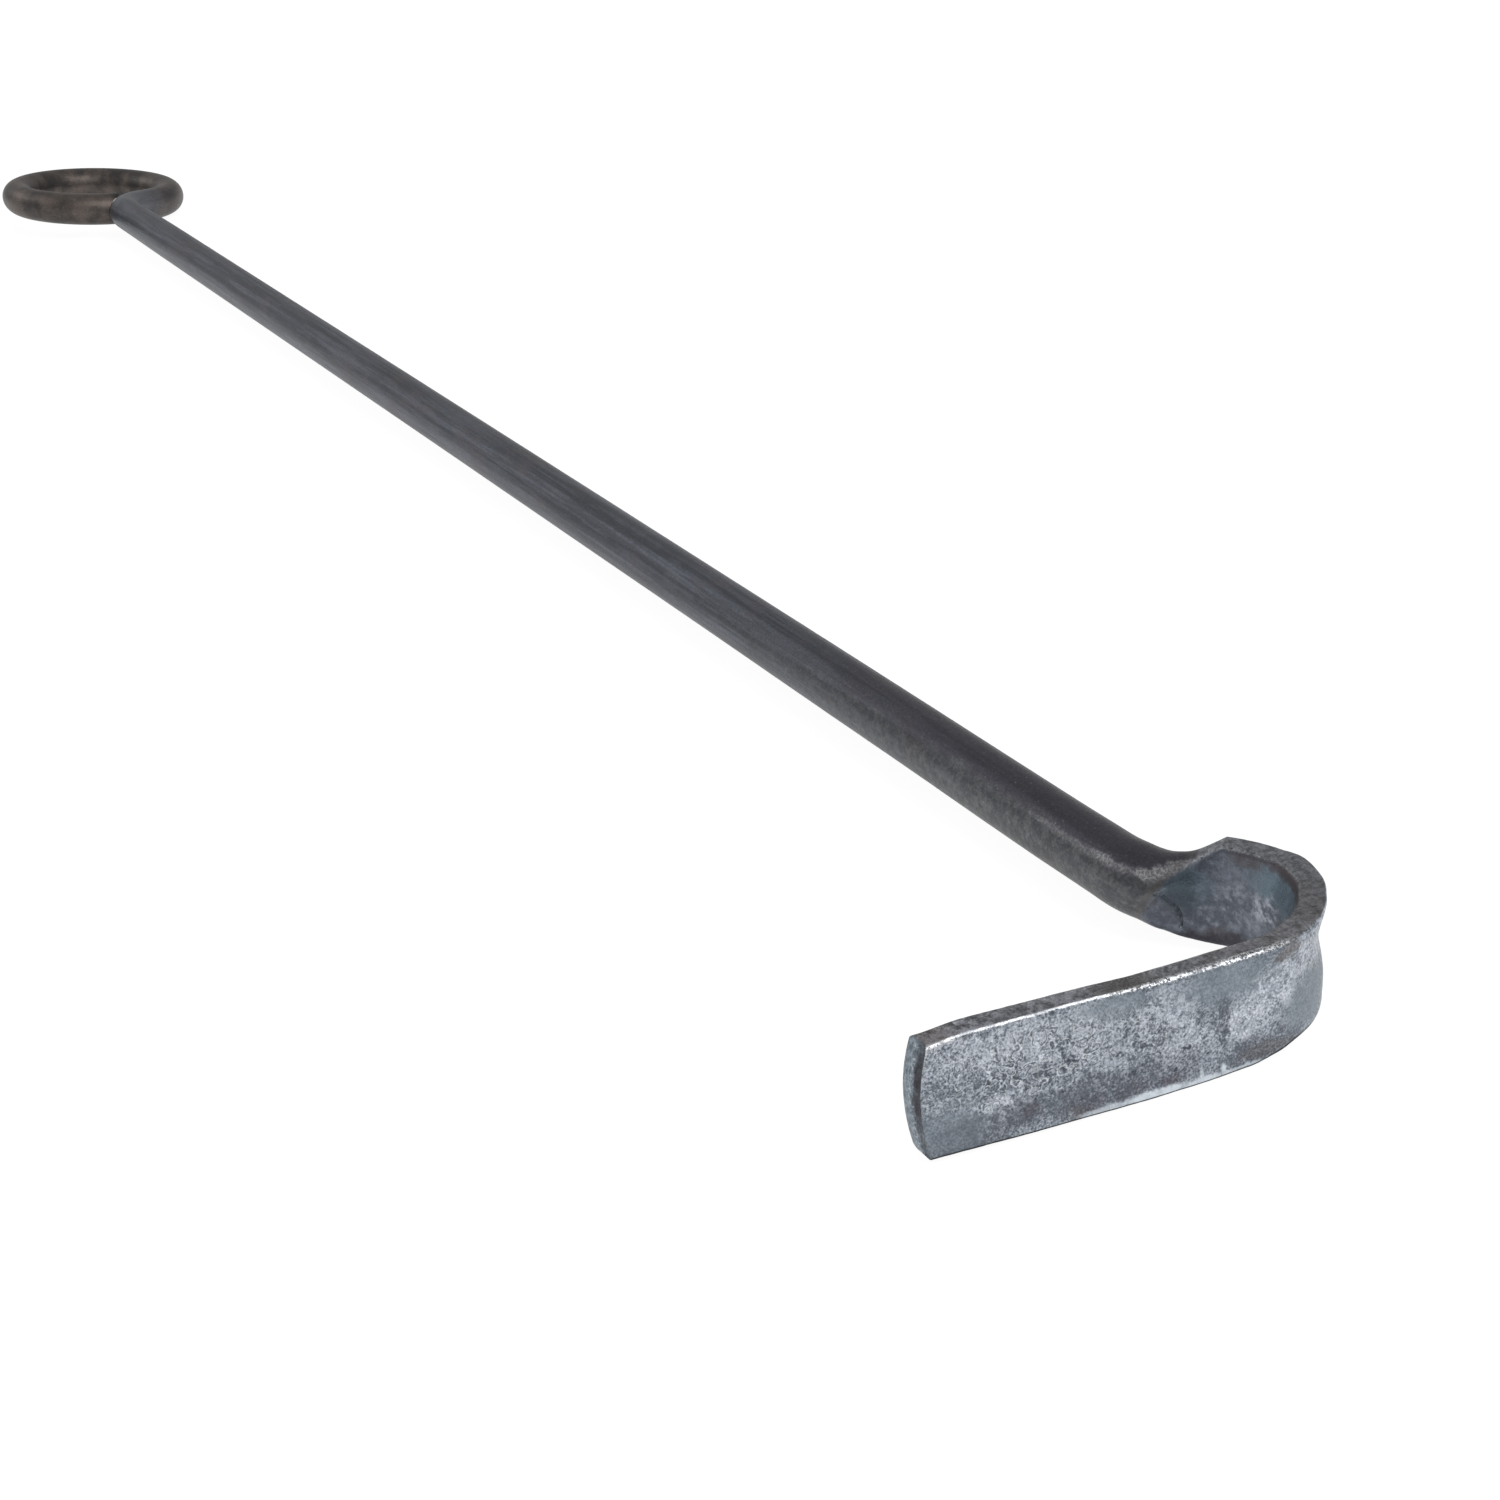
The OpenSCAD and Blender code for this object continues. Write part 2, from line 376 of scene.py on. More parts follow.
def ring_line_ends(angles):
    """How far each line along the ring runs before it meets the root bend, by halving."""
    section = BAR_R * np.cos(angles + RING_TILT)
    section_rise = BAR_R * np.sin(angles + RING_TILT)
    # The cut end was hammered close to the root, except at its bottom.
    gap = RING_GAP * (1 - GAP_CLOSED * smooth(1 + np.sin(angles)))
    near = np.full(len(angles), math.radians(SEARCH_FROM))
    far = np.full(len(angles), math.radians(SEARCH_TO))
    for _ in range(SEARCH_ROUNDS):
        middle = (near + far) / 2
        x = -RING_OFFSET + (RING_R + section) * np.cos(middle)
        y = RING_CENTRE_Y + (RING_R + section) * np.sin(middle)
        apart = np.hypot(np.hypot(x - ROOT_R, y) - ROOT_R, section_rise)
        clear = apart > BAR_R + gap
        near = np.where(clear, middle, near)
        far = np.where(clear, far, middle)
    return (near + math.radians(ROOT_TURN)) * RING_R


def round_blank(name, start, end, step):
    """A stretch of the round bar."""
    places = stations(start, end, step)
    return blank(name, stack_up(places, [swollen_bar(place) for place in places]))


def ring_blank():
    """The ring's stretch, whose lines are drawn back near the end to make the saddle."""
    bar = round_outline()
    ends = RING_START + ring_line_ends(np.arctan2(bar[:, 1], bar[:, 0]))
    longest = ends.max()
    places = stations(RING_START, longest, RING_STEP)[:, None]
    pull = smooth((places - longest + SADDLE_FADE) / SADDLE_FADE)
    return blank("ring_handle", stack_up(places - pull * (longest - ends), [bar] * len(places)))


blanks = {
    "shank": round_blank("shank", SHANK_START, ROOT_START, SHANK_STEP),
    "ring_root": round_blank("ring_root", ROOT_START, RING_START, RING_STEP),
    "ring_handle": ring_blank(),
}
for name, made in blanks.items():
    print(name, len(made.data.polygons), "faces")

# %% [markdown]
# ## Neck
# Here the round bar becomes the strap. On the outside it thins gently. On the inside the smith's
# hammer left a facet: it starts at a curved crease, where it is sunk a little below the round bar,
# and slopes down to the strap's thickness, with a short crack on it. The strap itself is nowhere
# quite even: its top sways, its low edge is flared out in one place and worn up in another, and
# its corners are sharp or soft. Short lists hold how far it strays, and the neck, the crook and
# the blade all read them, so that their outlines meet.

# %% Say how the strap strays
# Each list gives places along the bar and how far the strap strays there, in millimetres.
TOP_DROP = [
    (0, 0.25), (10, 0), (25, 0.05), (40, 0.3), (55, 0.25), (75, 0), (88, 0.1), (96, 0.5), (102.3, 0.65)
]
LOW_RISE = [
    (0, 0.65), (23, 0.35), (40, 0), (50, -0.05), (57, 0.1), (62, 0.55), (68, 0.9), (80, 1.0), (102.3, 1.15)
]
TOP_SWAY = [
    (0, 0.1), (8, 0.5), (25, 0.45), (40, 0.15), (55, 0), (68, 0), (78, -0.3), (84, -0.8), (90, -1.1),
    (94, -0.5), (98, -0.2), (102.3, -0.2),
]
TOP_LEAN = [(0, 0.2), (6, 0.5), (28, 0.5), (42, 0.1), (60, 0)]
LOW_FLARE = [(12, 0), (30, 0.1), (48, 0.15), (60, 0)]
LOW_FLARE_HEIGHT = 2.4 * MM
# The top leans from this share of the strap's height up.
LEAN_FROM = 0.6
LEAST_CORNER = 0.02 * MM
CORNER_ROUNDS = {
    "outer top": [(0, 1.3), (8, 1.0), (30, 1.0), (42, 1.25), (60, 1.2), (78, 0.8), (102.3, 0.9)],
    "inner top": [(0, 0.6), (12, 0.45), (25, 0.8), (40, 1.1), (102.3, 1.3)],
    "inner low": [(0, 1.3), (102.3, 1.3)],
    "outer low": [(0, 0.8), (30, 0.7), (58, 0.7), (68, 1.9), (95, 1.8), (102.3, 1.3)],
}


def strap_sides(along):
    """Top and low edge over the shank's axis, and the four corner radii, at a place on the strap."""
    top = STRAP_MID + STRAP_HALF_W - strays(along, TOP_DROP)
    low = STRAP_MID - STRAP_HALF_W + strays(along, LOW_RISE)
    return top, low, np.array([strays(along, marks) for marks in CORNER_ROUNDS.values()])


def strap_outline(along, inset=0.0):
    """The strap's outline at a place along the bar, or one that lies an inset inside it."""
    top, low, corners = strap_sides(along)
    corners = np.maximum(corners - inset, LEAST_CORNER)
    half_t = STRAP_HALF_T - inset
    outlined = outline(half_t, half_t, (top - low) / 2 - inset, corners) + [0, (top + low) / 2]
    share = (outlined[:, 1] - low) / (top - low)
    flare = strays(along, LOW_FLARE) * smooth(1 - (outlined[:, 1] - low) / LOW_FLARE_HEIGHT)
    lean = strays(along, TOP_LEAN) * smooth((share - LEAN_FROM) / (1 - LEAN_FROM))
    outlined[:, 0] += (flare - lean) * smooth(outlined[:, 0] / STRAP_HALF_T) - strays(along, TOP_SWAY) * share
    return outlined


print("the strap is", round(float(np.ptp(strap_outline(40 * MM)[:, 1])) / MM, 2), "mm wide at 40 mm")

# %% Draw the neck's outline
WIDEN_POWER = 1.85
OUTER_THIN_START = 7.5 * MM
OUTER_THIN_LENGTH = 10 * MM
INNER_THIN_START = 11 * MM
INNER_THIN_LENGTH = 9.5 * MM
# The neck's low edge: places along the bar and heights over the ground, in millimetres.
NECK_LOW = [(102.3, 1.15), (107.5, 1.3), (111.5, 2.1), (116, 2.75), (123.3, 2.85)]


def neck_outline(along):
    """The neck's outline, as the solid has it, but with a slower inside and a softer low edge."""
    after = SHANK_START - along
    outer_thin = smooth((after - OUTER_THIN_START) / OUTER_THIN_LENGTH)
    inner_thin = smooth((after - INNER_THIN_START) / INNER_THIN_LENGTH)
    spread = (max(after - FLAT_START, 0) / (NECK_LENGTH - FLAT_START)) ** WIDEN_POWER
    square_up = smooth((after - NECK_LENGTH + EDGE_LENGTH) / EDGE_LENGTH)
    round_r = BAR_R + strays(along, TOP_SWELL)
    strap_top, _, strap_corners = strap_sides(NECK_START)
    top = round_r + (strap_top - round_r) * spread
    low = strays(along, NECK_LOW) - SHANK_Z
    outer = round_r + (STRAP_HALF_T - round_r) * outer_thin
    inner = round_r + (STRAP_HALF_T - round_r) * inner_thin
    half_h = (top - low) / 2
    rounds = np.array([min(outer, half_h), min(inner, half_h)])[[0, 1, 1, 0]]
    corners = rounds + (strap_corners - rounds) * square_up
    outlined = outline(outer, inner, half_h, corners) + [0, (top + low) / 2]
    sway = strays(NECK_START, TOP_SWAY) * spread
    outlined[:, 0] -= sway * (outlined[:, 1] - low) / (top - low)
    return outlined


print("the neck is", round(float(np.ptp(neck_outline(110 * MM)[:, 1])) / MM, 2), "mm high at 110 mm")

# %% Cut the facet and the crack
CREASE_AT = 9.8 * MM
CREASE_SLANT = 0.15
CREASE_BEND = 33.0
CREASE_LOW = -3.4 * MM
CREASE_STEP = 0.45 * MM
CREASE_FADE = 0.9 * MM
# The crease wavers by hand: how far, over what height, both in millimetres, and where it starts.
CREASE_WAVES = [(0.25, 1.3, 0), (0.08, 0.55, 1)]
FACET_LENGTH = 8 * MM
FACET_POWER = 1.4
FACET_BLEND = 0.35 * MM
# Crack points: distance from the shank, then height over the shank's axis.
CRACK = np.array([(12.0, 2.2), (13.0, 0.8), (14.2, -0.8), (14.8, -2.6), (14.9, -4.6)]) * MM
CRACK_DEPTH = 0.42 * MM
CRACK_WIDTH = 0.21 * MM
CRACK_FROM = 1 * MM
CRACK_FADE = 1 * MM


def distance_to_line(places, line):
    """The least distance from each place to a chain of straight stretches."""
    least = np.full(places.shape[:-1], np.inf)
    for start, end in zip(line[:-1], line[1:]):
        run = end - start
        share = np.clip(((places - start) @ run) / (run @ run), 0, 1)
        least = np.minimum(least, np.linalg.norm(places - start - share[..., None] * run, axis=-1))
    return least


def wobble(height):
    """A hand-made unevenness of the crease, as a sum of waves of the height."""
    return sum(far * MM * np.sin(height / (reach * MM) + shift) for far, reach, shift in CREASE_WAVES)


def cut_facet(rings, after):
    """Sinks the inner facet behind its crease and opens the crack on it."""
    across = rings[..., 0]
    height = rings[..., 2]
    up = height - CREASE_LOW
    crease = CREASE_AT + CREASE_SLANT * up + CREASE_BEND * up**2 + wobble(height)
    past = after - crease
    slope = (1 - np.clip(past / FACET_LENGTH, 0, 1)) ** FACET_POWER
    limit = STRAP_HALF_T + (BAR_R - CREASE_STEP - STRAP_HALF_T) * slope
    step = smooth(past / CREASE_FADE)
    surface = -across
    # The lower of the round surface and the facet, blended a little where they meet.
    share = np.clip(0.5 + (surface - limit) / (2 * FACET_BLEND), 0, 1)
    lower = surface + (limit - surface) * share - FACET_BLEND * share * (1 - share)
    facet = surface + (lower - surface) * step
    crack = distance_to_line(np.stack([after + 0 * height, height], -1), CRACK)
    opened = CRACK_DEPTH * np.exp(-((crack / CRACK_WIDTH) ** 2)) * smooth((surface - CRACK_FROM) / CRACK_FADE)
    rings[..., 0] = np.where(across < 0, opened - facet, across)
    return rings


print("the crack is", round(float(np.linalg.norm(np.diff(CRACK, axis=0), axis=1).sum()) / MM, 1), "mm long")

# %% Forge the neck
NECK_STEP = 0.16 * MM


def neck_blank():
    """The neck, whose outlines are drawn first and cut afterwards."""
    places = stations(NECK_START, SHANK_START, NECK_STEP)
    rings = stack_up(places, [neck_outline(place) for place in places])
    return blank("neck", cut_facet(rings, (SHANK_START - places)[:, None]))


blanks["neck"] = neck_blank()
print("neck", len(blanks["neck"].data.polygons), "faces")

# %% [markdown]
# ## Crook and blade
# Bending the strap on edge-on blows dishes it: the crook is drawn in, most of all in the upper half
# of its outer face. The blade's free end was cut on a hardy and dressed, so it is crowned and a
# little slanted, its low corner is knocked off, and a fold runs down the end near the front edge.

# %% Forge the crook
CROOK_STEP = 0.27 * MM
# Where the dish is deepest and how far it reaches, as shares of half the strap's width.
DISH_MIDDLE = 0.4
DISH_ABOVE = 0.6
DISH_BELOW = 0.8


def crook_blank():
    """The strap's stretch that will be the crook, drawn in by its dish."""
    places = stations(CROOK_START, NECK_START, CROOK_STEP)
    rings = stack_up(places, [strap_outline(place) for place in places])
    dish = CROOK_DISH * np.sin(math.pi * (places - CROOK_START) / CROOK_LENGTH) ** 2
    off = (rings[..., 2] - STRAP_MID) / STRAP_HALF_W - DISH_MIDDLE
    rings[..., 0] -= dish[:, None] * smooth(1 - np.where(off > 0, off / DISH_ABOVE, -off / DISH_BELOW))
    return blank("crook", rings)


blanks["crook"] = crook_blank()
print("crook", len(blanks["crook"].data.polygons), "faces")

# %% Cut the blade's free end
END_MIDDLE = 11.4 * MM
END_REACH = 9.5 * MM
END_TOP_CROWN = 1.6 * MM
END_LOW_CROWN = 1.1 * MM
END_LOW_CHAMFER = 0.15 * MM
END_TOP_CHAMFER = 0.4 * MM
END_SLANT = 0.18
END_LEAN = 0.4 * MM


def end_cut(places):
    """How far the free end is cut back at places across and up: crowned, slanted, its corners off."""
    across, height = places[:, 0], places[:, 1] + SHANK_Z
    over = height - END_MIDDLE
    crown = np.where(over > 0, END_TOP_CROWN, END_LOW_CROWN) * (over / END_REACH) ** 2
    top, low, _ = strap_sides(0)
    low_corner = np.clip(END_LOW_CHAMFER - (places[:, 1] - low), 0, None)
    top_corner = np.clip(END_TOP_CHAMFER - (top - places[:, 1]), 0, None)
    return crown + low_corner + top_corner + END_SLANT * (across + STRAP_HALF_T) - END_LEAN


print("the end is cut back by up to", round(float(end_cut(strap_outline(0)).max()) / MM, 2), "mm")

# %% Forge the blade
BLADE_STEP = 0.25 * MM
END_ROUND = 0.3 * MM
END_FADE = 12 * MM
END_ROUND_STEPS = 6
END_FACE_STEPS = 14
# The smallest outline on the end face lies so far inside the strap's.
END_FACE_INSET = STRAP_HALF_T * 0.94
FOLD_AT = 1.1 * MM
FOLD_WIDTH = 0.85 * MM
FOLD_DEPTH = 0.5 * MM
FOLD_FADE = 2 * MM


def blade_blank():
    """The blade from the middle of its end face outwards, round the end's edge and along the strap."""
    rings = []
    outward = []
    ahead = np.array([0.0, -1.0, 0.0])
    for share in np.linspace(0, 1, END_FACE_STEPS + 1)[:-1]:
        face = strap_outline(0, END_FACE_INSET + (END_ROUND - END_FACE_INSET) * share)
        fold = FOLD_DEPTH * np.exp(-(((face[:, 0] - FOLD_AT) / FOLD_WIDTH) ** 2))
        fold *= smooth((STRAP_HALF_W - abs(face[:, 1] - STRAP_MID)) / FOLD_FADE)
        rings.append(np.column_stack([face[:, 0], end_cut(face) + fold, face[:, 1]]))
        outward.append(np.tile(ahead, (len(face), 1)))
    for angle in np.linspace(math.pi / 2, 0, END_ROUND_STEPS + 1)[:-1]:
        face = strap_outline(0, END_ROUND * (1 - math.cos(angle)))
        along = end_cut(face) + END_ROUND * (1 - math.sin(angle))
        rings.append(np.column_stack([face[:, 0], along, face[:, 1]]))
        sideways = outward_ways(rings[-1][None])[0]
        outward.append(math.cos(angle) * sideways + math.sin(angle) * ahead)
    places = stations(0, BLADE_LENGTH, BLADE_STEP)
    outlines = [strap_outline(place) for place in places]
    start = end_cut(outlines[0]) + END_ROUND
    along = places[:, None] + start * (1 - places[:, None] / END_FADE).clip(0)
    body = stack_up(along, outlines)
    rings = np.concatenate([np.array(rings), body])
    outward = np.concatenate([np.array(outward), outward_ways(body)])
    return blank("blade", rings, outward)


blanks["blade"] = blade_blank()
print("blade", len(blanks["blade"].data.polygons), "faces")

# %% [markdown]
# ## Node helpers
# Both kinds of tree below, the one that bends and the ones that colour, are written with the same
# few helpers, so that a pattern reads almost like a formula. The first few add any node, the next
# few do sums with numbers, and the last few make noise and groups.

# %% Helpers that add a node and join it up
def plug(tree, socket, value):
    """Joins a socket to the input, or writes a plain value in it."""
    if isinstance(value, bpy.types.NodeSocket):
        tree.links.new(value, socket)
    else:
        socket.default_value = value


def add_node(tree, kind, inputs=(), **settings):
    """A node with its settings made and its inputs joined."""
    node = tree.nodes.new(kind)
    for key, value in settings.items():
        setattr(node, key, value)
    for key, value in dict(inputs).items():
        plug(tree, node.inputs[key], value)
    return node


def vectors(tree, operation, *values):
    """A sum with vectors. The length of a vector is a number, and all else is a vector."""
    node = add_node(tree, "ShaderNodeVectorMath", operation=operation)
    for socket, value in zip(node.inputs, values):
        plug(tree, socket, value)
    return node.outputs["Value" if operation == "LENGTH" else "Vector"]


def scaled(tree, vector, factor):
    """A vector or a colour times a number."""
    node = add_node(tree, "ShaderNodeVectorMath", {0: vector, "Scale": factor}, operation="SCALE")
    return node.outputs["Vector"]


def split(tree, vector):
    """The three numbers X, Y and Z of a vector."""
    return add_node(tree, "ShaderNodeSeparateXYZ", {0: vector}).outputs


print("node helpers:", [helper.__name__ for helper in (plug, add_node, vectors, scaled, split)])

# %% Helpers that do sums with numbers
def calculate(tree, operation, *values):
    """One sum of the Math node."""
    return add_node(tree, "ShaderNodeMath", dict(enumerate(values)), operation=operation).outputs[0]


def chained(tree, operation, *values):
    """The same sum, product or maximum over several values."""
    result = values[0]
    for value in values[1:]:
        result = calculate(tree, operation, result, value)
    return result


def times(tree, *values):
    """The product of several values."""
    return chained(tree, "MULTIPLY", *values)


def most(tree, *values):
    """The largest of several values."""
    return chained(tree, "MAXIMUM", *values)


def total(tree, *values):
    """The sum of several values."""
    return chained(tree, "ADD", *values)


def less(tree, value, other):
    """One value less another."""
    return calculate(tree, "SUBTRACT", value, other)


def far_from(tree, value, centre):
    """How far a number is from a centre, on either side."""
    return calculate(tree, "ABSOLUTE", less(tree, value, centre))


def rise(tree, value, low, high, top=1.0):
    """0 below low, top above high, and a gentle rise between. High may be the lower one."""
    inputs = {"Value": value, "From Min": low, "From Max": high, "To Min": 0.0, "To Max": top}
    return add_node(tree, "ShaderNodeMapRange", inputs, interpolation_type="SMOOTHSTEP").outputs["Result"]


def between(tree, mask, low, high):
    """A number that goes from low to high with the mask."""
    inputs = {"Value": mask, "To Min": low, "To Max": high}
    return add_node(tree, "ShaderNodeMapRange", inputs).outputs["Result"]


print("number helpers:", [helper.__name__ for helper in (times, most, total, less, far_from, rise, between)])

# %% Helpers that make noise and groups
# How far each seed moves a noise from the one before it, in metres.
SEED_STEP = (0.37, 0.11, 0.0)


def noise(tree, place, scale, detail, rough=0.5):
    """A noise's outputs. The first is a number from 0 to 1, and Color holds three of them."""
    inputs = {"Vector": place, "Scale": scale, "Detail": detail, "Roughness": rough}
    return add_node(tree, "ShaderNodeTexNoise", inputs).outputs


def seeded(tree, place, seed):
    """The place, moved far off, so that noises with different seeds don't look alike."""
    return vectors(tree, "ADD", place, tuple(step * seed for step in SEED_STEP))


def cloud(tree, place, size, seed, detail=2.0, rough=0.5):
    """Noise from 0 to 1 whose spots are about as large as size, in metres."""
    return noise(tree, seeded(tree, place, seed), 1 / size, detail, rough)[0]


def group_tree(name, kind, inputs, outputs):
    """A node group with named sockets, given as (name, socket type, default value)."""
    tree = bpy.data.node_groups.new(name, kind)
    for socket_name, socket_type, value in inputs:
        socket = tree.interface.new_socket(name=socket_name, in_out="INPUT", socket_type=socket_type)
        if value is not None:
            socket.default_value = value
    for socket_name, socket_type in outputs:
        tree.interface.new_socket(name=socket_name, in_out="OUTPUT", socket_type=socket_type)
    return tree, tree.nodes.new("NodeGroupInput").outputs, tree.nodes.new("NodeGroupOutput").inputs


print("noise and group helpers:", [helper.__name__ for helper in (noise, seeded, cloud, group_tree)])

# %% [markdown]
# ## Bend the bar
# One Geometry Nodes tree does the work of the anvil for all six blanks. First it sinks the hammer
# marks: broad dents everywhere, and smaller ones and a fine grain where the strap was drawn out.
# These marks only go inwards, so they make no piece larger. Then it bends: a point's distance
# along the blank becomes a place on the path, and its other two sizes are laid off across and up.
# The place in the straight blank is kept as the attribute straight. The finishes read it, so
# that streaks from the drawing-out follow every bend, as they do on the real bar. The tree could
# also have been written as plain sums in Python, but here its sizes can be tried out by hand.

# %% Name what the bending tree takes in
BEND_INPUTS = [
    ("Geometry", "NodeSocketGeometry", None),
    ("Path", "NodeSocketObject", None),
    ("Broad dent size", "NodeSocketFloat", 9 * MM),
    ("Broad dent depth", "NodeSocketFloat", 0.16 * MM),
    ("Small dent size", "NodeSocketFloat", 2.4 * MM),
    ("Small dent depth", "NodeSocketFloat", 0.09 * MM),
    ("Grain size", "NodeSocketFloat", 0.8 * MM),
    ("Grain depth", "NodeSocketFloat", 0.05 * MM),
    ("Strap ends at", "NodeSocketFloat", 112 * MM),
    ("Path lead", "NodeSocketFloat", PATH_LEAD),
    ("Seed", "NodeSocketFloat", 4.0),
    ("Finish", "NodeSocketMaterial", None),
]
# The strap's own marks fade out between these places, counted from the strap's end.
MARKS_FADE = (-10 * MM, 4 * MM)
# The share of the broad dents' depth that the round bar gets.
BAR_DENTS = 0.35
print("the tree takes in", [name for name, kind, value in BEND_INPUTS])

# %% Build the bending tree
def bending_tree():
    """Sinks the hammer marks, bends the blank along the path and gives it its finish."""
    tree, given, made = group_tree(
        "hammer_and_bend", "GeometryNodeTree", BEND_INPUTS, [("Geometry", "NodeSocketGeometry")]
    )
    straight = tree.nodes.new("GeometryNodeInputPosition").outputs[0]
    keep = add_node(
        tree,
        "GeometryNodeStoreNamedAttribute",
        {"Geometry": given["Geometry"], "Name": "straight", "Value": straight},
        data_type="FLOAT_VECTOR",
        domain="POINT",
    )
    along = split(tree, straight)["Y"]

    def spots(size, seed_step, detail):
        """Noise whose spots have a size that the tree takes in, times the depth of that name."""
        seed = total(tree, given["Seed"], seed_step)
        scale = calculate(tree, "DIVIDE", 1.0, given[size + " size"])
        inputs = {"Vector": straight, "W": seed, "Scale": scale, "Detail": detail}
        spotted = add_node(tree, "ShaderNodeTexNoise", inputs, noise_dimensions="4D").outputs[0]
        return times(tree, spotted, given[size + " depth"])

    on_strap = rise(tree, less(tree, given["Strap ends at"], along), *MARKS_FADE)
    share = calculate(tree, "MULTIPLY_ADD", on_strap, 1 - BAR_DENTS, BAR_DENTS)
    broad = times(tree, spots("Broad dent", 0.0, 1.0), share)
    fine = times(tree, total(tree, spots("Small dent", 1.7, 1.0), spots("Grain", 3.1, 2.0)), on_strap)
    sunk = times(tree, total(tree, broad, fine), -1.0)
    outward = add_node(
        tree, "GeometryNodeInputNamedAttribute", {"Name": "outward"}, data_type="FLOAT_VECTOR"
    ).outputs["Attribute"]
    forged = vectors(tree, "ADD", straight, scaled(tree, outward, sunk))
    across, distance, up = split(tree, forged)

    path = add_node(tree, "GeometryNodeObjectInfo", {"Object": given["Path"]}, transform_space="ORIGINAL")
    walked = total(tree, distance, given["Path lead"])
    on_path = add_node(
        tree,
        "GeometryNodeSampleCurve",
        {"Curves": path.outputs["Geometry"], "Length": walked},
        mode="LENGTH",
    ).outputs
    rising = vectors(tree, "CROSS_PRODUCT", on_path["Normal"], on_path["Tangent"])
    shift = vectors(tree, "ADD", scaled(tree, on_path["Normal"], across), scaled(tree, rising, up))
    bent = add_node(
        tree,
        "GeometryNodeSetPosition",
        {"Geometry": keep.outputs["Geometry"], "Position": vectors(tree, "ADD", on_path["Position"], shift)},
    )
    real = add_node(tree, "GeometryNodeRealizeInstances", {"Geometry": bent.outputs["Geometry"]})
    finish = {"Geometry": real.outputs["Geometry"], "Material": given["Finish"]}
    dressed = add_node(tree, "GeometryNodeSetMaterial", finish)
    plug(tree, made["Geometry"], dressed.outputs["Geometry"])
    return tree


hammer_and_bend = bending_tree()
print("the tree has", len(hammer_and_bend.nodes), "nodes")


# %% [markdown]
# ## The skin of forged steel
# Steel from the fire carries a thin grey scale. It flakes, stains, and wears off along the edges,
# where bare metal shines. The effects that a skin uses more than once are node groups, built once
# and given their own sizes in each place: curly tracks, pits and long streaks. All of them work in
# the bar's straight coordinates: across, along and up, in metres. A skin is painted in coats, each
# laid over the last where a mask is 1. In every rise below, the first number is where the mask
# starts and the second is where it is full. They were tried out until the tones looked right.

# %% Give colours as they look
def tone(red, green, blue):
    """A colour as a screen shows it, 0 to 255 each, in the linear numbers that shaders use."""
    shares = [value / 255 for value in (red, green, blue)]
    return (*[share / 12.92 if share < 0.04 else ((share + 0.055) / 1.055) ** 2.4 for share in shares], 1.0)


def coat(tree, mask, under, over):
    """Lays one colour over another where the mask is 1."""
    node = tree.nodes.new("ShaderNodeMix")
    node.data_type = "RGBA"
    # The node has an A, a B and a Result of every type under one name, so the colours go by number.
    plug(tree, node.inputs["Factor"], mask)
    plug(tree, node.inputs[6], under)
    plug(tree, node.inputs[7], over)
    return node.outputs[2]


def centred(tree, three):
    """Three numbers from 0 to 1, made to lie about 0."""
    return vectors(tree, "SUBTRACT", three, (0.5, 0.5, 0.5))


def pushed(tree, place, size, amount, seed):
    """The place, pushed about by noise, so that what is drawn on it gets ragged borders."""
    push = noise(tree, seeded(tree, place, seed), 1 / size, 2.0, 0.6)["Color"]
    return vectors(tree, "MULTIPLY_ADD", centred(tree, push), (2 * amount,) * 3, place)


def place_group(tree, group, **values):
    """Places a shader group in a tree, with its inputs joined by name."""
    node = tree.nodes.new("ShaderNodeGroup")
    node.node_tree = group
    for key, value in values.items():
        plug(tree, node.inputs[key], value)
    return node.outputs


print("a middle grey of 128 is", round(tone(128, 128, 128)[0], 3), "in linear numbers")

# %% Curly tracks in the scale
# A noise so many times finer than the tracks bends them, by up to half this share of their size.
TRACK_BEND_FINER = 1.6
TRACK_BEND_REACH = 0.9
# Another one, taken far off, breaks them off where it is low, with ends that fade.
TRACK_BREAK_FINER = 1.3
TRACK_BREAK_FADE = 0.07
FAR_OFF = (0.31, 0.23, 0.17)
# The dark line, painted shade beside the light line's painted highlight, runs this many half
# widths of a line from it.
SHADE_LINE_SHIFT = 1.9


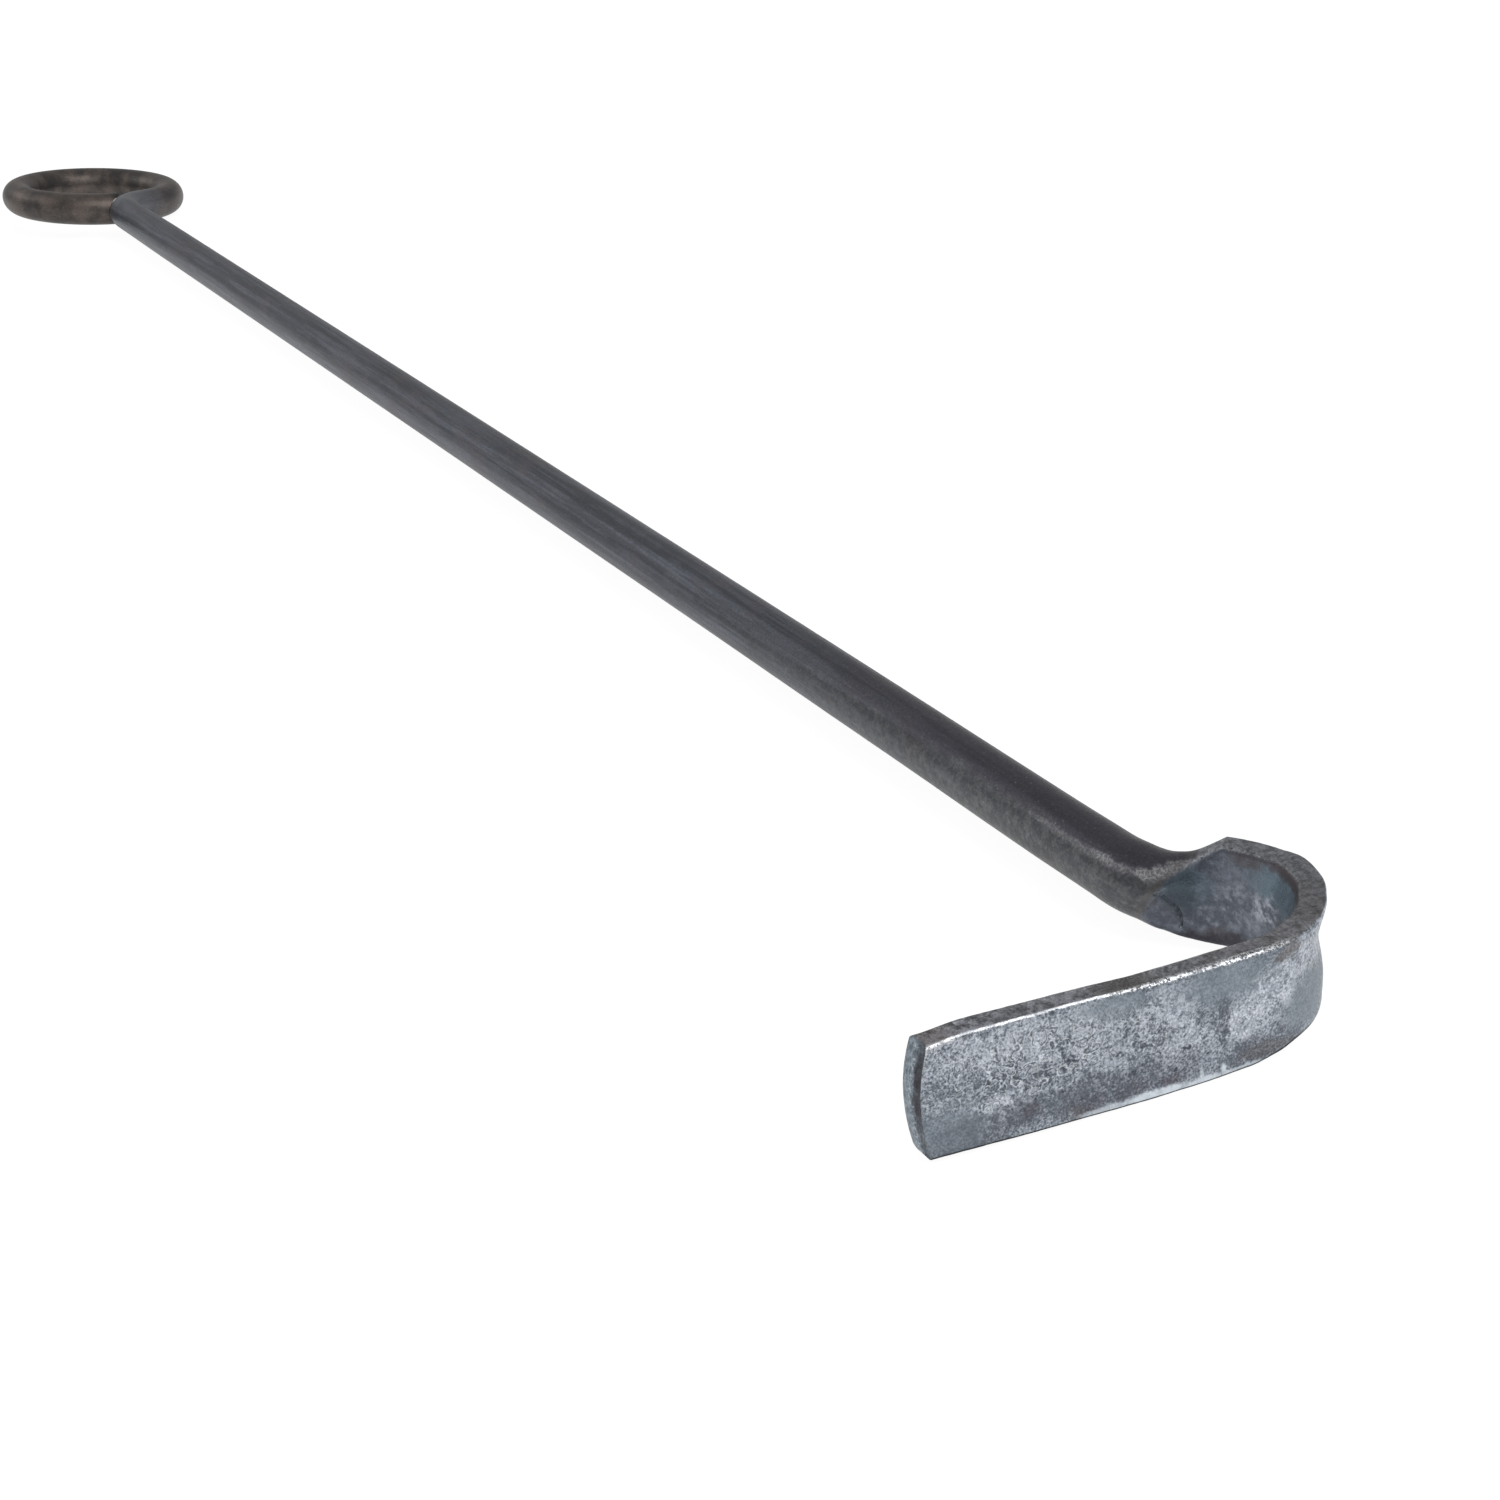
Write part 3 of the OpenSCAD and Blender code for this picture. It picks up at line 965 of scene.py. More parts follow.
def curly_tracks_group():
    """Curls about half as wide as Size, on level lines of a noise: a painted highlight beside a painted
    shade.
    """
    tree, given, made = group_tree(
        "curly_tracks",
        "ShaderNodeTree",
        [
            ("Place", "NodeSocketVector", None),
            ("Size", "NodeSocketFloat", 1.8 * MM),
            ("Level", "NodeSocketFloat", 0.57),
            ("Line", "NodeSocketFloat", 0.03),
            ("Coverage", "NodeSocketFloat", 0.5),
        ],
        [("Light", "NodeSocketFloat"), ("Dark", "NodeSocketFloat")],
    )
    scale = calculate(tree, "DIVIDE", 1.0, given["Size"])
    bend = noise(tree, given["Place"], times(tree, scale, TRACK_BEND_FINER), 1.0)["Color"]
    push = scaled(tree, centred(tree, bend), given["Size"])
    curled = vectors(tree, "MULTIPLY_ADD", push, (TRACK_BEND_REACH,) * 3, given["Place"])
    level = noise(tree, curled, scale, 0.5)[0]
    far = vectors(tree, "ADD", given["Place"], FAR_OFF)
    breaks = noise(tree, far, times(tree, scale, TRACK_BREAK_FINER), 1.0)[0]
    limit = calculate(tree, "MULTIPLY_ADD", given["Coverage"], -0.4, 0.68)
    kept = rise(tree, breaks, limit, total(tree, limit, TRACK_BREAK_FADE))
    for name, shift in (("Light", 0.0), ("Dark", SHADE_LINE_SHIFT)):
        centre = calculate(tree, "MULTIPLY_ADD", given["Line"], shift, given["Level"])
        line = rise(tree, far_from(tree, level, centre), given["Line"], times(tree, given["Line"], 0.3))
        plug(tree, made[name], times(tree, line, kept))
    return tree


curly_tracks = curly_tracks_group()
print("curly tracks:", len(curly_tracks.nodes), "nodes")

# %% Pits
# The least and the greatest radius of a pit, and its fading edge, as shares of a cell.
PIT_RADIUS = (0.16, 0.4)
PIT_EDGE = (0.1, -0.08)


def pits_group():
    """Small round pits, one in some of the cells of a random pattern."""
    tree, given, made = group_tree(
        "pits",
        "ShaderNodeTree",
        [
            ("Place", "NodeSocketVector", None),
            ("Size", "NodeSocketFloat", 1 * MM),
            ("Share", "NodeSocketFloat", 0.3),
        ],
        [("Mask", "NodeSocketFloat")],
    )
    scale = calculate(tree, "DIVIDE", 1.0, given["Size"])
    cells = add_node(tree, "ShaderNodeTexVoronoi", {"Vector": given["Place"], "Scale": scale}).outputs
    chance = split(tree, cells["Color"])
    chosen = calculate(tree, "LESS_THAN", chance["X"], given["Share"])
    reach = between(tree, chance["Y"], *PIT_RADIUS)
    hollow = rise(tree, less(tree, cells["Distance"], reach), *PIT_EDGE)
    plug(tree, made["Mask"], times(tree, hollow, chosen))
    return tree


pits = pits_group()
print("pits:", len(pits.nodes), "nodes")

# %% Long streaks
def long_streaks_group():
    """Faint streaks that run along the bar, from drawing it out."""
    tree, given, made = group_tree(
        "long_streaks",
        "ShaderNodeTree",
        [
            ("Place", "NodeSocketVector", None),
            ("Width", "NodeSocketFloat", 1.2 * MM),
            ("Length", "NodeSocketFloat", 40 * MM),
            ("Seed", "NodeSocketFloat", 0.0),
        ],
        [("Mask", "NodeSocketFloat")],
    )
    across, along, up = split(tree, given["Place"])
    thin = [calculate(tree, "DIVIDE", value, given["Width"]) for value in (across, up)]
    shares = calculate(tree, "DIVIDE", along, given["Length"])
    drawn = calculate(tree, "MULTIPLY_ADD", given["Seed"], 7.3, shares)
    stretched = add_node(tree, "ShaderNodeCombineXYZ", {"X": thin[0], "Y": drawn, "Z": thin[1]}).outputs[0]
    plug(tree, made["Mask"], noise(tree, stretched, 1.0, 3.0, 0.6)[0])
    return tree


long_streaks = long_streaks_group()
print("long streaks:", len(long_streaks.nodes), "nodes")

# %% [markdown]
# ## Marks in their own places
# A stain, a patch of pale scale or a highlight painted along a ridge belongs in one place on the
# rake, and noise alone never puts it there. A picture could, but a picture can't be resized or
# handed on as numbers. So soft ovals, placed along the bar and over the ground, say where each
# effect is strong, and noise that pushes them about gives them ragged borders.

# %% Draw soft ovals
OVAL_SOFTNESS = 0.45


def face_place(tree, place):
    """A vector of the distance along the bar and the height over the ground."""
    _, along, up = split(tree, place)
    height = total(tree, up, SHANK_Z)
    return add_node(tree, "ShaderNodeCombineXYZ", {"X": along, "Y": height}).outputs[0]


def ovals(tree, spot, rows):
    """The strongest of some soft ovals: along, height, half length, half height (mm), strength."""
    masks = []
    for along, height, half_length, half_height, strength in rows:
        spread = (1 / (half_length * MM), 1 / (half_height * MM), 0.0)
        shift = (-along / half_length, -height / half_height, 0.0)
        reach = vectors(tree, "LENGTH", vectors(tree, "MULTIPLY_ADD", spot, spread, shift))
        masks.append(rise(tree, reach, 1 + OVAL_SOFTNESS, 1 - OVAL_SOFTNESS, strength))
    return most(tree, *masks)


def ragged_ovals(tree, place, size, amount, seed, rows):
    """Ovals whose borders are ragged, each size and amount in metres."""
    return ovals(tree, pushed(tree, face_place(tree, place), size, amount, seed), rows)


print("an oval fades from", round(1 - OVAL_SOFTNESS, 2), "to", round(1 + OVAL_SOFTNESS, 2), "of its size")

# %% [markdown]
# ## Scale on the round bar
# The round bar is dark grey with long, faint streaks and a few cloudy stains. It turns browner and
# rougher towards the neck, and brown-black at the ring, which was heated longest. The colour
# therefore changes with the distance along the bar, in one group that the shank, the neck and the
# ring share, so that no seam shows. The top of the bend just before the ring has a painted
# highlight, and the low side of the bar is painted a little darker as shade. A speckled painted
# highlight runs down the ridge on the inner side of the neck.

# %% Build the round bar's skin
NECK_TONE_FROM = 300 * MM
NECK_TONE_FULL = 128 * MM
# This list says where a highlight is painted along the ridge on the neck's inner side.
# Each oval: place along the bar, height, half length, half height (all in mm), and strength.
RIDGE_HIGHLIGHT = [
    (133, 13.1, 10, 0.55, 0.26),
    (120, 13.6, 6, 0.6, 0.42),
    (113.6, 13.8, 2.2, 0.7, 0.75),
    (111.4, 14.7, 1.5, 0.75, 0.8),
    (109.9, 15.7, 1.3, 0.75, 0.8),
    (108.6, 16.7, 1.2, 0.75, 0.65),
    (107.4, 17.6, 1.1, 0.7, 0.4),
]


def bar_skin_group():
    """The round bar's scale, with the neck's and the ring's coats over it, and a painted highlight on the
    ridge.
    """
    tree, given, made = group_tree(
        "bar_skin",
        "ShaderNodeTree",
        [
            ("Place", "NodeSocketVector", None),
            ("Dark scale", "NodeSocketColor", tone(74, 76, 83)),
            ("Light scale", "NodeSocketColor", tone(95, 99, 108)),
            ("Ring dark", "NodeSocketColor", tone(70, 67, 66)),
            ("Ring warm", "NodeSocketColor", tone(104, 95, 90)),
            ("Ring bend", "NodeSocketColor", tone(118, 119, 124)),
            ("Rust", "NodeSocketColor", tone(92, 78, 72)),
            ("Neck side", "NodeSocketColor", tone(80, 81, 84)),
            ("Neck mottle", "NodeSocketColor", tone(104, 105, 105)),
            ("Neck top", "NodeSocketColor", tone(66, 64, 71)),
            ("Specks", "NodeSocketColor", tone(158, 158, 162)),
            ("Worn ridge", "NodeSocketColor", tone(168, 168, 170)),
        ],
        [("Color", "NodeSocketColor"), ("Roughness", "NodeSocketFloat"), ("Height", "NodeSocketFloat")],
    )
    place = given["Place"]
    across, along, up = split(tree, place)
    streaks = place_group(tree, long_streaks, Place=place)["Mask"]
    fine = {"Width": 0.35 * MM, "Length": 9 * MM, "Seed": 3.0}
    fine_streaks = place_group(tree, long_streaks, Place=place, **fine)["Mask"]
    clouds = cloud(tree, place, 9 * MM, 1.0, detail=4.0, rough=0.6)
    grain = cloud(tree, place, 0.5 * MM, 2.0, detail=3.0, rough=0.7)
    light = total(tree, streaks, times(tree, clouds, 0.6), -0.3)
    colour = coat(tree, rise(tree, light, 0.38, 0.66), given["Dark scale"], given["Light scale"])
    rust = times(tree, rise(tree, clouds, 0.5, 0.64), 0.25)
    colour = coat(tree, rust, colour, given["Rust"])
    # The neck is mottled at its sides, and its top is painted darker: partly a purplish scale, partly shade.
    near_neck = rise(tree, along, NECK_TONE_FROM, NECK_TONE_FULL)
    top_tint_and_shade = rise(tree, total(tree, up, times(tree, clouds, 4 * MM)), 4.8 * MM, 7.0 * MM)
    mottle = rise(tree, cloud(tree, place, 1.7 * MM, 5.0, detail=3.0, rough=0.65), 0.4, 0.64)
    neck_side = coat(tree, mottle, given["Neck side"], given["Neck mottle"])
    neck_colour = coat(tree, top_tint_and_shade, neck_side, given["Neck top"])
    colour = coat(tree, times(tree, near_neck, 0.85), colour, neck_colour)
    # The ring is brown-black, the top of the bend before it has a painted highlight, and its cut end is
    # painted nearly black as shade in the seam.
    ring_share = rise(tree, along, RING_START - 8 * MM, RING_START + 14 * MM)
    warm = rise(tree, clouds, 0.36, 0.66)
    colour = coat(tree, ring_share, colour, coat(tree, warm, given["Ring dark"], given["Ring warm"]))
    bend_in = rise(tree, along, ROOT_START - 4 * MM, ROOT_START + 5 * MM)
    bend_out = rise(tree, along, RING_START + 8 * MM, RING_START - 2 * MM)
    bend = times(tree, bend_in, bend_out, rise(tree, up, -3 * MM, 1 * MM))
    colour = coat(tree, times(tree, bend, 0.65), colour, given["Ring bend"])
    # The last few millimetres before the cut end are painted nearly black: shade in the seam where it meets
    # the root.
    seam = rise(tree, along, BAR_END - 4 * MM, BAR_END - 0.5 * MM)
    colour = coat(tree, times(tree, seam, 0.8), colour, tone(38, 36, 36))
    # Grain and fine streaks go over every colour, and specks over those.
    calm = between(tree, near_neck, 0.36, 0.08)
    streaky = times(tree, less(tree, fine_streaks, 0.5), calm)
    depth = total(tree, between(tree, grain, 0.4, 1.6), streaky)
    # The low side of the bar is painted a little darker, as shade.
    low_side_shade = between(tree, rise(tree, up, 0.0, -5 * MM), 1.0, 0.8)
    colour = scaled(tree, colour, times(tree, depth, low_side_shade))
    specks = times(tree, rise(tree, grain, 0.66, 0.74), between(tree, near_neck, 0.45, 0.8))
    colour = coat(tree, specks, colour, given["Specks"])
    # The ridge's painted highlight shows only on the inner side of the bar, where it is also smoother.
    ridge = ragged_ovals(tree, place, 1.2 * MM, 0.5 * MM, 8.0, RIDGE_HIGHLIGHT)
    ridge = times(tree, ridge, rise(tree, across, -1.5 * MM, -2.4 * MM))
    ridge = times(tree, ridge, between(tree, rise(tree, grain, 0.42, 0.62), 0.35, 1.0))
    plug(tree, made["Color"], coat(tree, ridge, colour, given["Worn ridge"]))
    rough = between(tree, clouds, 0.36, 0.54)
    plug(tree, made["Roughness"], calculate(tree, "MULTIPLY_ADD", ridge, -0.14, rough))
    plug(tree, made["Height"], total(tree, times(tree, fine_streaks, 0.5), grain))
    return tree


bar_skin = bar_skin_group()
print("the bar's skin has", len(bar_skin.nodes), "nodes")

# %% [markdown]
# ## Scale on the strap
# The flat strap shows its skin from close by. The outer face has pale flaky scale with curly tracks
# and pits, a smoother blue band below its top edge, brown and purple stains low down, and bare
# bright metal along its top and bottom edges. The inner face is darker and bluer, the narrow top is
# brown-grey, and the underside is painted nearly black as shade, and made dull. Which of them a
# point belongs to is told by the way that is outwards. Three noises, coarse, medium and fine, are
# made once and shared by all the faces, because noise is the slow part of a render.

# %% Say where the outer face is pale, smooth, stained and pitted
# Each oval: place along the bar, height, half length, half height (all in mm), and strength.
PALE = [
    (14, 17.5, 12, 4, 0.5),
    (27, 14, 9, 5, 0.35),
    (13, 7.5, 2.2, 1.8, 0.8),
    (42, 14, 6, 5, 0.5),
    (45, 8.5, 5, 3, 0.7),
    (56, 10, 3.2, 3.6, 1.0),
    (61, 13, 3.5, 4.5, 0.8),
    (66, 17, 4, 4, 0.6),
    (77, 17, 10, 5, 0.45),
]
SMOOTH = [
    (5, 5, 7, 4.5, 0.75),
    (34, 19, 6, 2, 0.8),
    (53, 17.5, 10, 3.8, 0.85),
    (69, 8, 6, 5, 0.9),
    (78, 5, 8, 5, 0.6),
]
DARK = [
    (8, 3.5, 7, 3.2, 0.75),
    (16, 5, 6, 2.2, 0.75),
    (31, 4.5, 9, 3, 0.75),
    (43, 5.5, 6, 3, 0.6),
    (20, 11, 1.6, 1.4, 0.7),
    (25, 11, 1.4, 2.2, 0.5),
    (42, 11, 2, 1.6, 0.5),
    (52.3, 10, 0.8, 5, 0.75),
    (60, 3.4, 6, 2.2, 0.8),
]
CURLED = [(20, 13.5, 13, 5.5, 1.0), (6, 14, 6, 6, 0.6), (36, 13, 6, 4.5, 0.6), (13, 7, 4, 2.5, 0.8)]
PURPLE = [(19, 5.2, 1.4, 1.8, 0.5), (28, 2.8, 4, 1.6, 0.4), (43, 2.6, 2, 1.2, 0.6), (36, 3, 3, 1.5, 0.35)]
BROWN = [(64.3, 19.2, 2.4, 1.5, 0.75), (60, 2.8, 5, 1.3, 0.5), (27, 2, 2, 0.8, 0.4)]
PITTED = [(30, 9, 16, 5, 1.0), (43, 6.5, 8, 4, 1.0)]
OUTER_MARKS = (PALE, SMOOTH, DARK, CURLED, PURPLE, BROWN, PITTED)
print("ovals on the outer face:", sum(len(rows) for rows in OUTER_MARKS))


# %% Paint the outer face
def outer_face(tree, place, noises):
    """Colour and height of the strap's outer face."""
    coarse, medium, fine = noises
    spot = pushed(tree, face_place(tree, place), 2.2 * MM, 2.2 * MM, 1.0)
    pale = ovals(tree, spot, PALE)
    dark = ovals(tree, spot, DARK)
    body = total(tree, times(tree, coarse, 0.3), times(tree, medium, 0.3), times(tree, fine, 0.4))
    body = total(tree, body, times(tree, pale, 0.1), times(tree, dark, -0.08))
    colour = coat(tree, rise(tree, body, 0.41, 0.59), tone(106, 113, 122), tone(165, 171, 180))
    smooth_mask = ovals(tree, spot, SMOOTH)
    colour = coat(tree, smooth_mask, colour, coat(tree, medium, tone(107, 116, 125), tone(148, 157, 166)))
    frost = times(tree, rise(tree, total(tree, medium, times(tree, fine, 0.5)), 0.7, 0.84), pale)
    colour = coat(tree, frost, colour, tone(200, 205, 213))
    curled = ovals(tree, spot, CURLED)
    tracks = place_group(tree, curly_tracks, Place=place, Size=3.4 * MM, Level=0.55, Line=0.024, Coverage=1.0)
    small = place_group(tree, curly_tracks, Place=place, Size=2.0 * MM, Level=0.54, Line=0.034, Coverage=1.0)
    # The tracks' light and dark lines are painted highlight and painted shade of raised edges; the light one
    # also lifts the bump.
    light = times(tree, most(tree, tracks["Light"], times(tree, small["Light"], 0.75)), curled)
    shade = times(tree, most(tree, tracks["Dark"], times(tree, small["Dark"], 0.85)), curled)
    colour = coat(tree, times(tree, shade, 0.8), colour, tone(76, 82, 92))
    colour = coat(tree, times(tree, light, 0.9), colour, tone(208, 213, 220))
    colour = coat(tree, times(tree, dark, 0.5), colour, tone(94, 97, 106))
    colour = coat(tree, ovals(tree, spot, PURPLE), colour, tone(90, 84, 93))
    colour = coat(tree, ovals(tree, spot, BROWN), colour, tone(102, 98, 98))
    holes = place_group(tree, pits, Place=spot, Size=1.5 * MM, Share=0.3)["Mask"]
    holes = times(tree, holes, ovals(tree, spot, PITTED))
    colour = coat(tree, times(tree, holes, 0.8), colour, tone(66, 70, 80))
    swing = less(tree, fine, 0.5)
    colour = scaled(tree, colour, total(tree, 1.0, times(tree, swing, between(tree, smooth_mask, 1.9, 1.0))))
    height = total(tree, times(tree, light, 1.0), times(tree, holes, -1.0), times(tree, fine, 1.6), medium)
    return colour, height


# %% Say where the inner face is washed, blue, brown and scratched
WISPS = [(92, 11.5, 4, 3, 1.0), (98, 10, 5, 4, 0.4), (104, 7, 4, 3, 0.3)]
TEAL = [(107.5, 12.5, 3.4, 4.5, 0.5), (87, 16.5, 8, 3.5, 0.9)]
DEEP_TEAL = [(108.0, 11.5, 2.4, 4.6, 0.85)]
INNER_BROWN = [(97, 19.5, 4, 1.6, 0.6), (101, 3.5, 4, 1.5, 0.5), (82, 20.4, 14, 1.3, 0.9)]
INNER_SHADE = [(107, 1.6, 9, 2.0, 0.9), (98, 2.6, 6, 1.8, 0.7), (113, 3, 4, 1.5, 0.6), (109, 8, 4, 4, 0.3)]


def inner_face(tree, place, noises):
    """Colour of the strap's inner face, which lay on the anvil and stayed darker and bluer."""
    coarse, medium, fine = noises
    spot = pushed(tree, face_place(tree, place), 2.2 * MM, 1.8 * MM, 2.0)
    body = total(tree, times(tree, coarse, 0.4), times(tree, medium, 0.6))
    colour = coat(tree, rise(tree, body, 0.3, 0.72), tone(84, 88, 97), tone(124, 130, 141))
    teal = coat(tree, body, tone(92, 108, 119), tone(126, 143, 154))
    colour = coat(tree, ovals(tree, spot, TEAL), colour, teal)
    colour = coat(tree, ovals(tree, spot, DEEP_TEAL), colour, tone(68, 79, 87))
    wisps = times(tree, rise(tree, body, 0.45, 0.62), ovals(tree, spot, WISPS))
    colour = coat(tree, times(tree, wisps, 0.9), colour, tone(176, 180, 190))
    colour = coat(tree, ovals(tree, spot, INNER_BROWN), colour, tone(86, 80, 82))
    colour = coat(tree, ovals(tree, spot, INNER_SHADE), colour, tone(58, 55, 61))
    return scaled(tree, colour, between(tree, fine, 0.6, 1.4))


# %% Finish the narrow edges and the cut end
TOP_WARM = [(4, 21, 3, 3, 0.6), (36, 21, 5, 3, 0.4), (62, 21, 14, 3, 0.2)]
TOP_PALE = [(8, 21, 7, 3, 1.0), (20, 21, 10, 3, 0.5), (28, 21, 4, 3, 0.7), (48, 21, 7, 3, 0.5)]
TOP_DARK = [(35, 21, 5, 3, 0.5), (78, 21, 8, 3, 0.3)]
# This oval makes the painted shade on the cut end stronger in its middle.
END_FOLD_SHADE = [(0, 13, 9, 6, 0.45)]


def narrow_edge(tree, place, noises):
    """Colour of the strap's narrow top and bottom."""
    _, medium, fine = noises
    spot = pushed(tree, face_place(tree, place), 2.2 * MM, 1.5 * MM, 3.0)
    colour = coat(tree, rise(tree, medium, 0.3, 0.7), tone(92, 94, 98), tone(144, 146, 152))
    pale = times(tree, rise(tree, medium, 0.38, 0.66), ovals(tree, spot, TOP_PALE))
    colour = coat(tree, pale, colour, tone(166, 168, 176))
    colour = coat(tree, times(tree, ovals(tree, spot, TOP_WARM), 0.7), colour, tone(110, 98, 90))
    colour = coat(tree, ovals(tree, spot, TOP_DARK), colour, tone(82, 79, 78))
    back = rise(tree, split(tree, place)["X"], -0.6 * MM, -1.8 * MM)
    specks = times(tree, rise(tree, fine, 0.54, 0.64), back, most(tree, pale, 0.2))
    colour = coat(tree, specks, colour, tone(205, 205, 208))
    return scaled(tree, colour, between(tree, fine, 0.2, 1.8))


def end_face(tree, place, noises):
    """Colour of the blade's cut end: blue-grey with upright streaks, and painted shade along the fold."""
    _, medium, fine = noises
    squeezed = vectors(tree, "MULTIPLY", place, (1.0, 1.0, 0.3))
    streaks = cloud(tree, squeezed, 0.4 * MM, 4.0, detail=3.0, rough=0.7)
    colour = coat(tree, rise(tree, streaks, 0.35, 0.65), tone(96, 107, 115), tone(150, 160, 169))
    # From the fold to the front edge the end is painted dark, as shade, most strongly in its middle.
    off = less(tree, split(tree, place)["X"], FOLD_AT - 0.5 * MM)
    uneven = total(tree, off, times(tree, medium, 0.8 * MM), times(tree, fine, 0.4 * MM))
    strength = total(tree, 0.55, ovals(tree, face_place(tree, place), END_FOLD_SHADE))
    band = times(tree, rise(tree, uneven, -0.4 * MM, 0.5 * MM), between(tree, medium, 0.5, 1.2), strength)
    colour = coat(tree, band, colour, tone(60, 58, 63))
    near = times(tree, rise(tree, uneven, -1.2 * MM, -0.5 * MM), rise(tree, uneven, 0.5 * MM, -0.2 * MM))
    specks = times(tree, rise(tree, fine, 0.55, 0.63), near)
    colour = coat(tree, specks, colour, tone(172, 178, 186))
    return scaled(tree, colour, between(tree, fine, 0.4, 1.6))


# %% Wear the edges to bare metal
TOP_LINE_ACROSS = 1.9 * MM
TOP_LINE_WIDTH = 1.0 * MM
TOP_LINE_BREAK = 20.4 * MM
NICKS = [(1.8, 20.4, 0.7, 0.9, 0.9), (3.6, 20.7, 1.0, 0.6, 0.8), (6.0, 20.9, 1.0, 0.5, 0.8)]
LOW_STRIP = [
    (32, 1.1, 5, 0.55, 0.7),
    (40, 1.1, 6, 0.8, 1.0),
    (48.5, 0.8, 4, 0.65, 0.9),
    (56, 0.8, 5, 0.5, 0.8),
    (48.4, 1.5, 0.4, 1.6, 0.8),
    (52.4, 1.3, 0.4, 1.4, 0.8),
]


def bare_edges(tree, place, facing, noises):
    """Masks of a line at the top front edge, nicks at its end, a low strip and painted shade underneath."""
    coarse, medium, fine = noises
    across, along, up = split(tree, place)
    outer = rise(tree, facing["X"], 0.2, 0.5)
    off = far_from(tree, across, TOP_LINE_ACROSS)
    ragged = total(tree, off, times(tree, medium, 0.9 * MM), times(tree, fine, 0.5 * MM))
    line = rise(tree, ragged, TOP_LINE_WIDTH + 0.75 * MM, TOP_LINE_WIDTH + 0.35 * MM)
    tilt = total(tree, facing["Z"], times(tree, medium, 0.5), times(tree, fine, 0.5))
    bright = between(tree, rise(tree, coarse, 0.38, 0.5), 0.55, 1.0)
    line = times(tree, line, rise(tree, tilt, 1.0, 1.2), bright)
    # Further along, only the specks of it are left.
    lost = times(tree, rise(tree, along, 28 * MM, 36 * MM), less(tree, rise(tree, fine, 0.44, 0.56), 1.0))
    line = times(tree, line, total(tree, 1.0, lost))
    # It fades out before the crook, and it is faint at the free end and in one short break.
    near_end = between(tree, rise(tree, along, 4 * MM, 9 * MM), 0.3, 1.0)
    line = times(tree, line, rise(tree, along, 68 * MM, 58 * MM), near_end)
    broken = rise(tree, far_from(tree, along, TOP_LINE_BREAK), 0.1 * MM, 0.4 * MM)
    line = times(tree, line, between(tree, broken, 0.3, 1.0))
    nicks = ragged_ovals(tree, place, 1.0 * MM, 0.9 * MM, 5.0, NICKS)
    nicks = times(tree, nicks, outer, rise(tree, fine, 0.36, 0.46))
    low = ragged_ovals(tree, place, 0.8 * MM, 0.45 * MM, 6.0, LOW_STRIP)
    low = times(tree, low, outer, between(tree, medium, 0.4, 1.3))
    # The last mask is painted shade, where the outer face's low edge turns under.
    foot = rise(tree, up, 2.8 * MM - SHANK_Z, 2.0 * MM - SHANK_Z)
    under = times(tree, rise(tree, facing["Z"], 0.05, -0.2), rise(tree, across, 0.0, 1.0 * MM), foot)
    return line, nicks, low, under


print("ovals along the worn edges:", len(NICKS) + len(LOW_STRIP))

# %% Put the strap's faces together
def strap_skin_group():
    """The four faces of the strap, each where it faces, with the worn edges and a painted shade underneath.
    """
    tree, given, made = group_tree(
        "strap_skin",
        "ShaderNodeTree",
        [
            ("Place", "NodeSocketVector", None),
            ("Outward", "NodeSocketVector", None),
            ("Bare metal", "NodeSocketColor", tone(222, 225, 229)),
            ("Pale metal", "NodeSocketColor", tone(214, 222, 230)),
            ("Underside", "NodeSocketColor", tone(34, 37, 40)),
        ],
        [
            ("Color", "NodeSocketColor"),
            ("Roughness", "NodeSocketFloat"),
            ("Height", "NodeSocketFloat"),
            ("Soot", "NodeSocketFloat"),
        ],
    )
    place = given["Place"]
    facing = split(tree, given["Outward"])
    noises = (
        cloud(tree, place, 5 * MM, 1.0, detail=3.0, rough=0.6),
        cloud(tree, place, 1.4 * MM, 2.0, detail=3.0, rough=0.65),
        cloud(tree, place, 0.42 * MM, 3.0, detail=2.0, rough=0.7),
    )
    colour, height = outer_face(tree, place, noises)
    colour = coat(tree, rise(tree, facing["X"], -0.2, -0.6), colour, inner_face(tree, place, noises))
    narrow = rise(tree, far_from(tree, facing["Z"], 0.0), 0.55, 0.8)
    colour = coat(tree, narrow, colour, narrow_edge(tree, place, noises))
    colour = coat(tree, rise(tree, facing["Y"], -0.5, -0.8), colour, end_face(tree, place, noises))
    line, nicks, low, under = bare_edges(tree, place, facing, noises)
    colour = coat(tree, low, colour, given["Pale metal"])
    # The underside is painted nearly black, as shade.
    colour = coat(tree, under, colour, given["Underside"])
    bare = most(tree, line, nicks)
    plug(tree, made["Color"], coat(tree, bare, colour, given["Bare metal"]))
    rough = total(tree, between(tree, noises[1], 0.36, 0.56), times(tree, under, 0.4))
    plug(tree, made["Roughness"], calculate(tree, "MULTIPLY_ADD", most(tree, bare, low), -0.16, rough))
    plug(tree, made["Height"], height)
    plug(tree, made["Soot"], under)
    return tree


strap_skin = strap_skin_group()
print("the strap's skin has", len(strap_skin.nodes), "nodes")

# %% [markdown]
# ## The four finishes
# Each finish is one Principled shader, fed by the skins. The neck lies between the two skins: the
# strap's skin gives way to the round bar's along the ragged crease of the facet. Steel under scale
# is still metallic, but the underside, painted nearly black as shade, is made dull. Otherwise it
# would mirror the white ground.

# %% Make a finish from a skin
BUMP_REACH = 0.06 * MM
BUMP_STRENGTH = 0.9
METALLIC = 0.85


def attribute(tree, name):
    """A vector that the bending tree or the blank has stored at every point."""
    return add_node(tree, "ShaderNodeAttribute", attribute_name=name).outputs["Vector"]


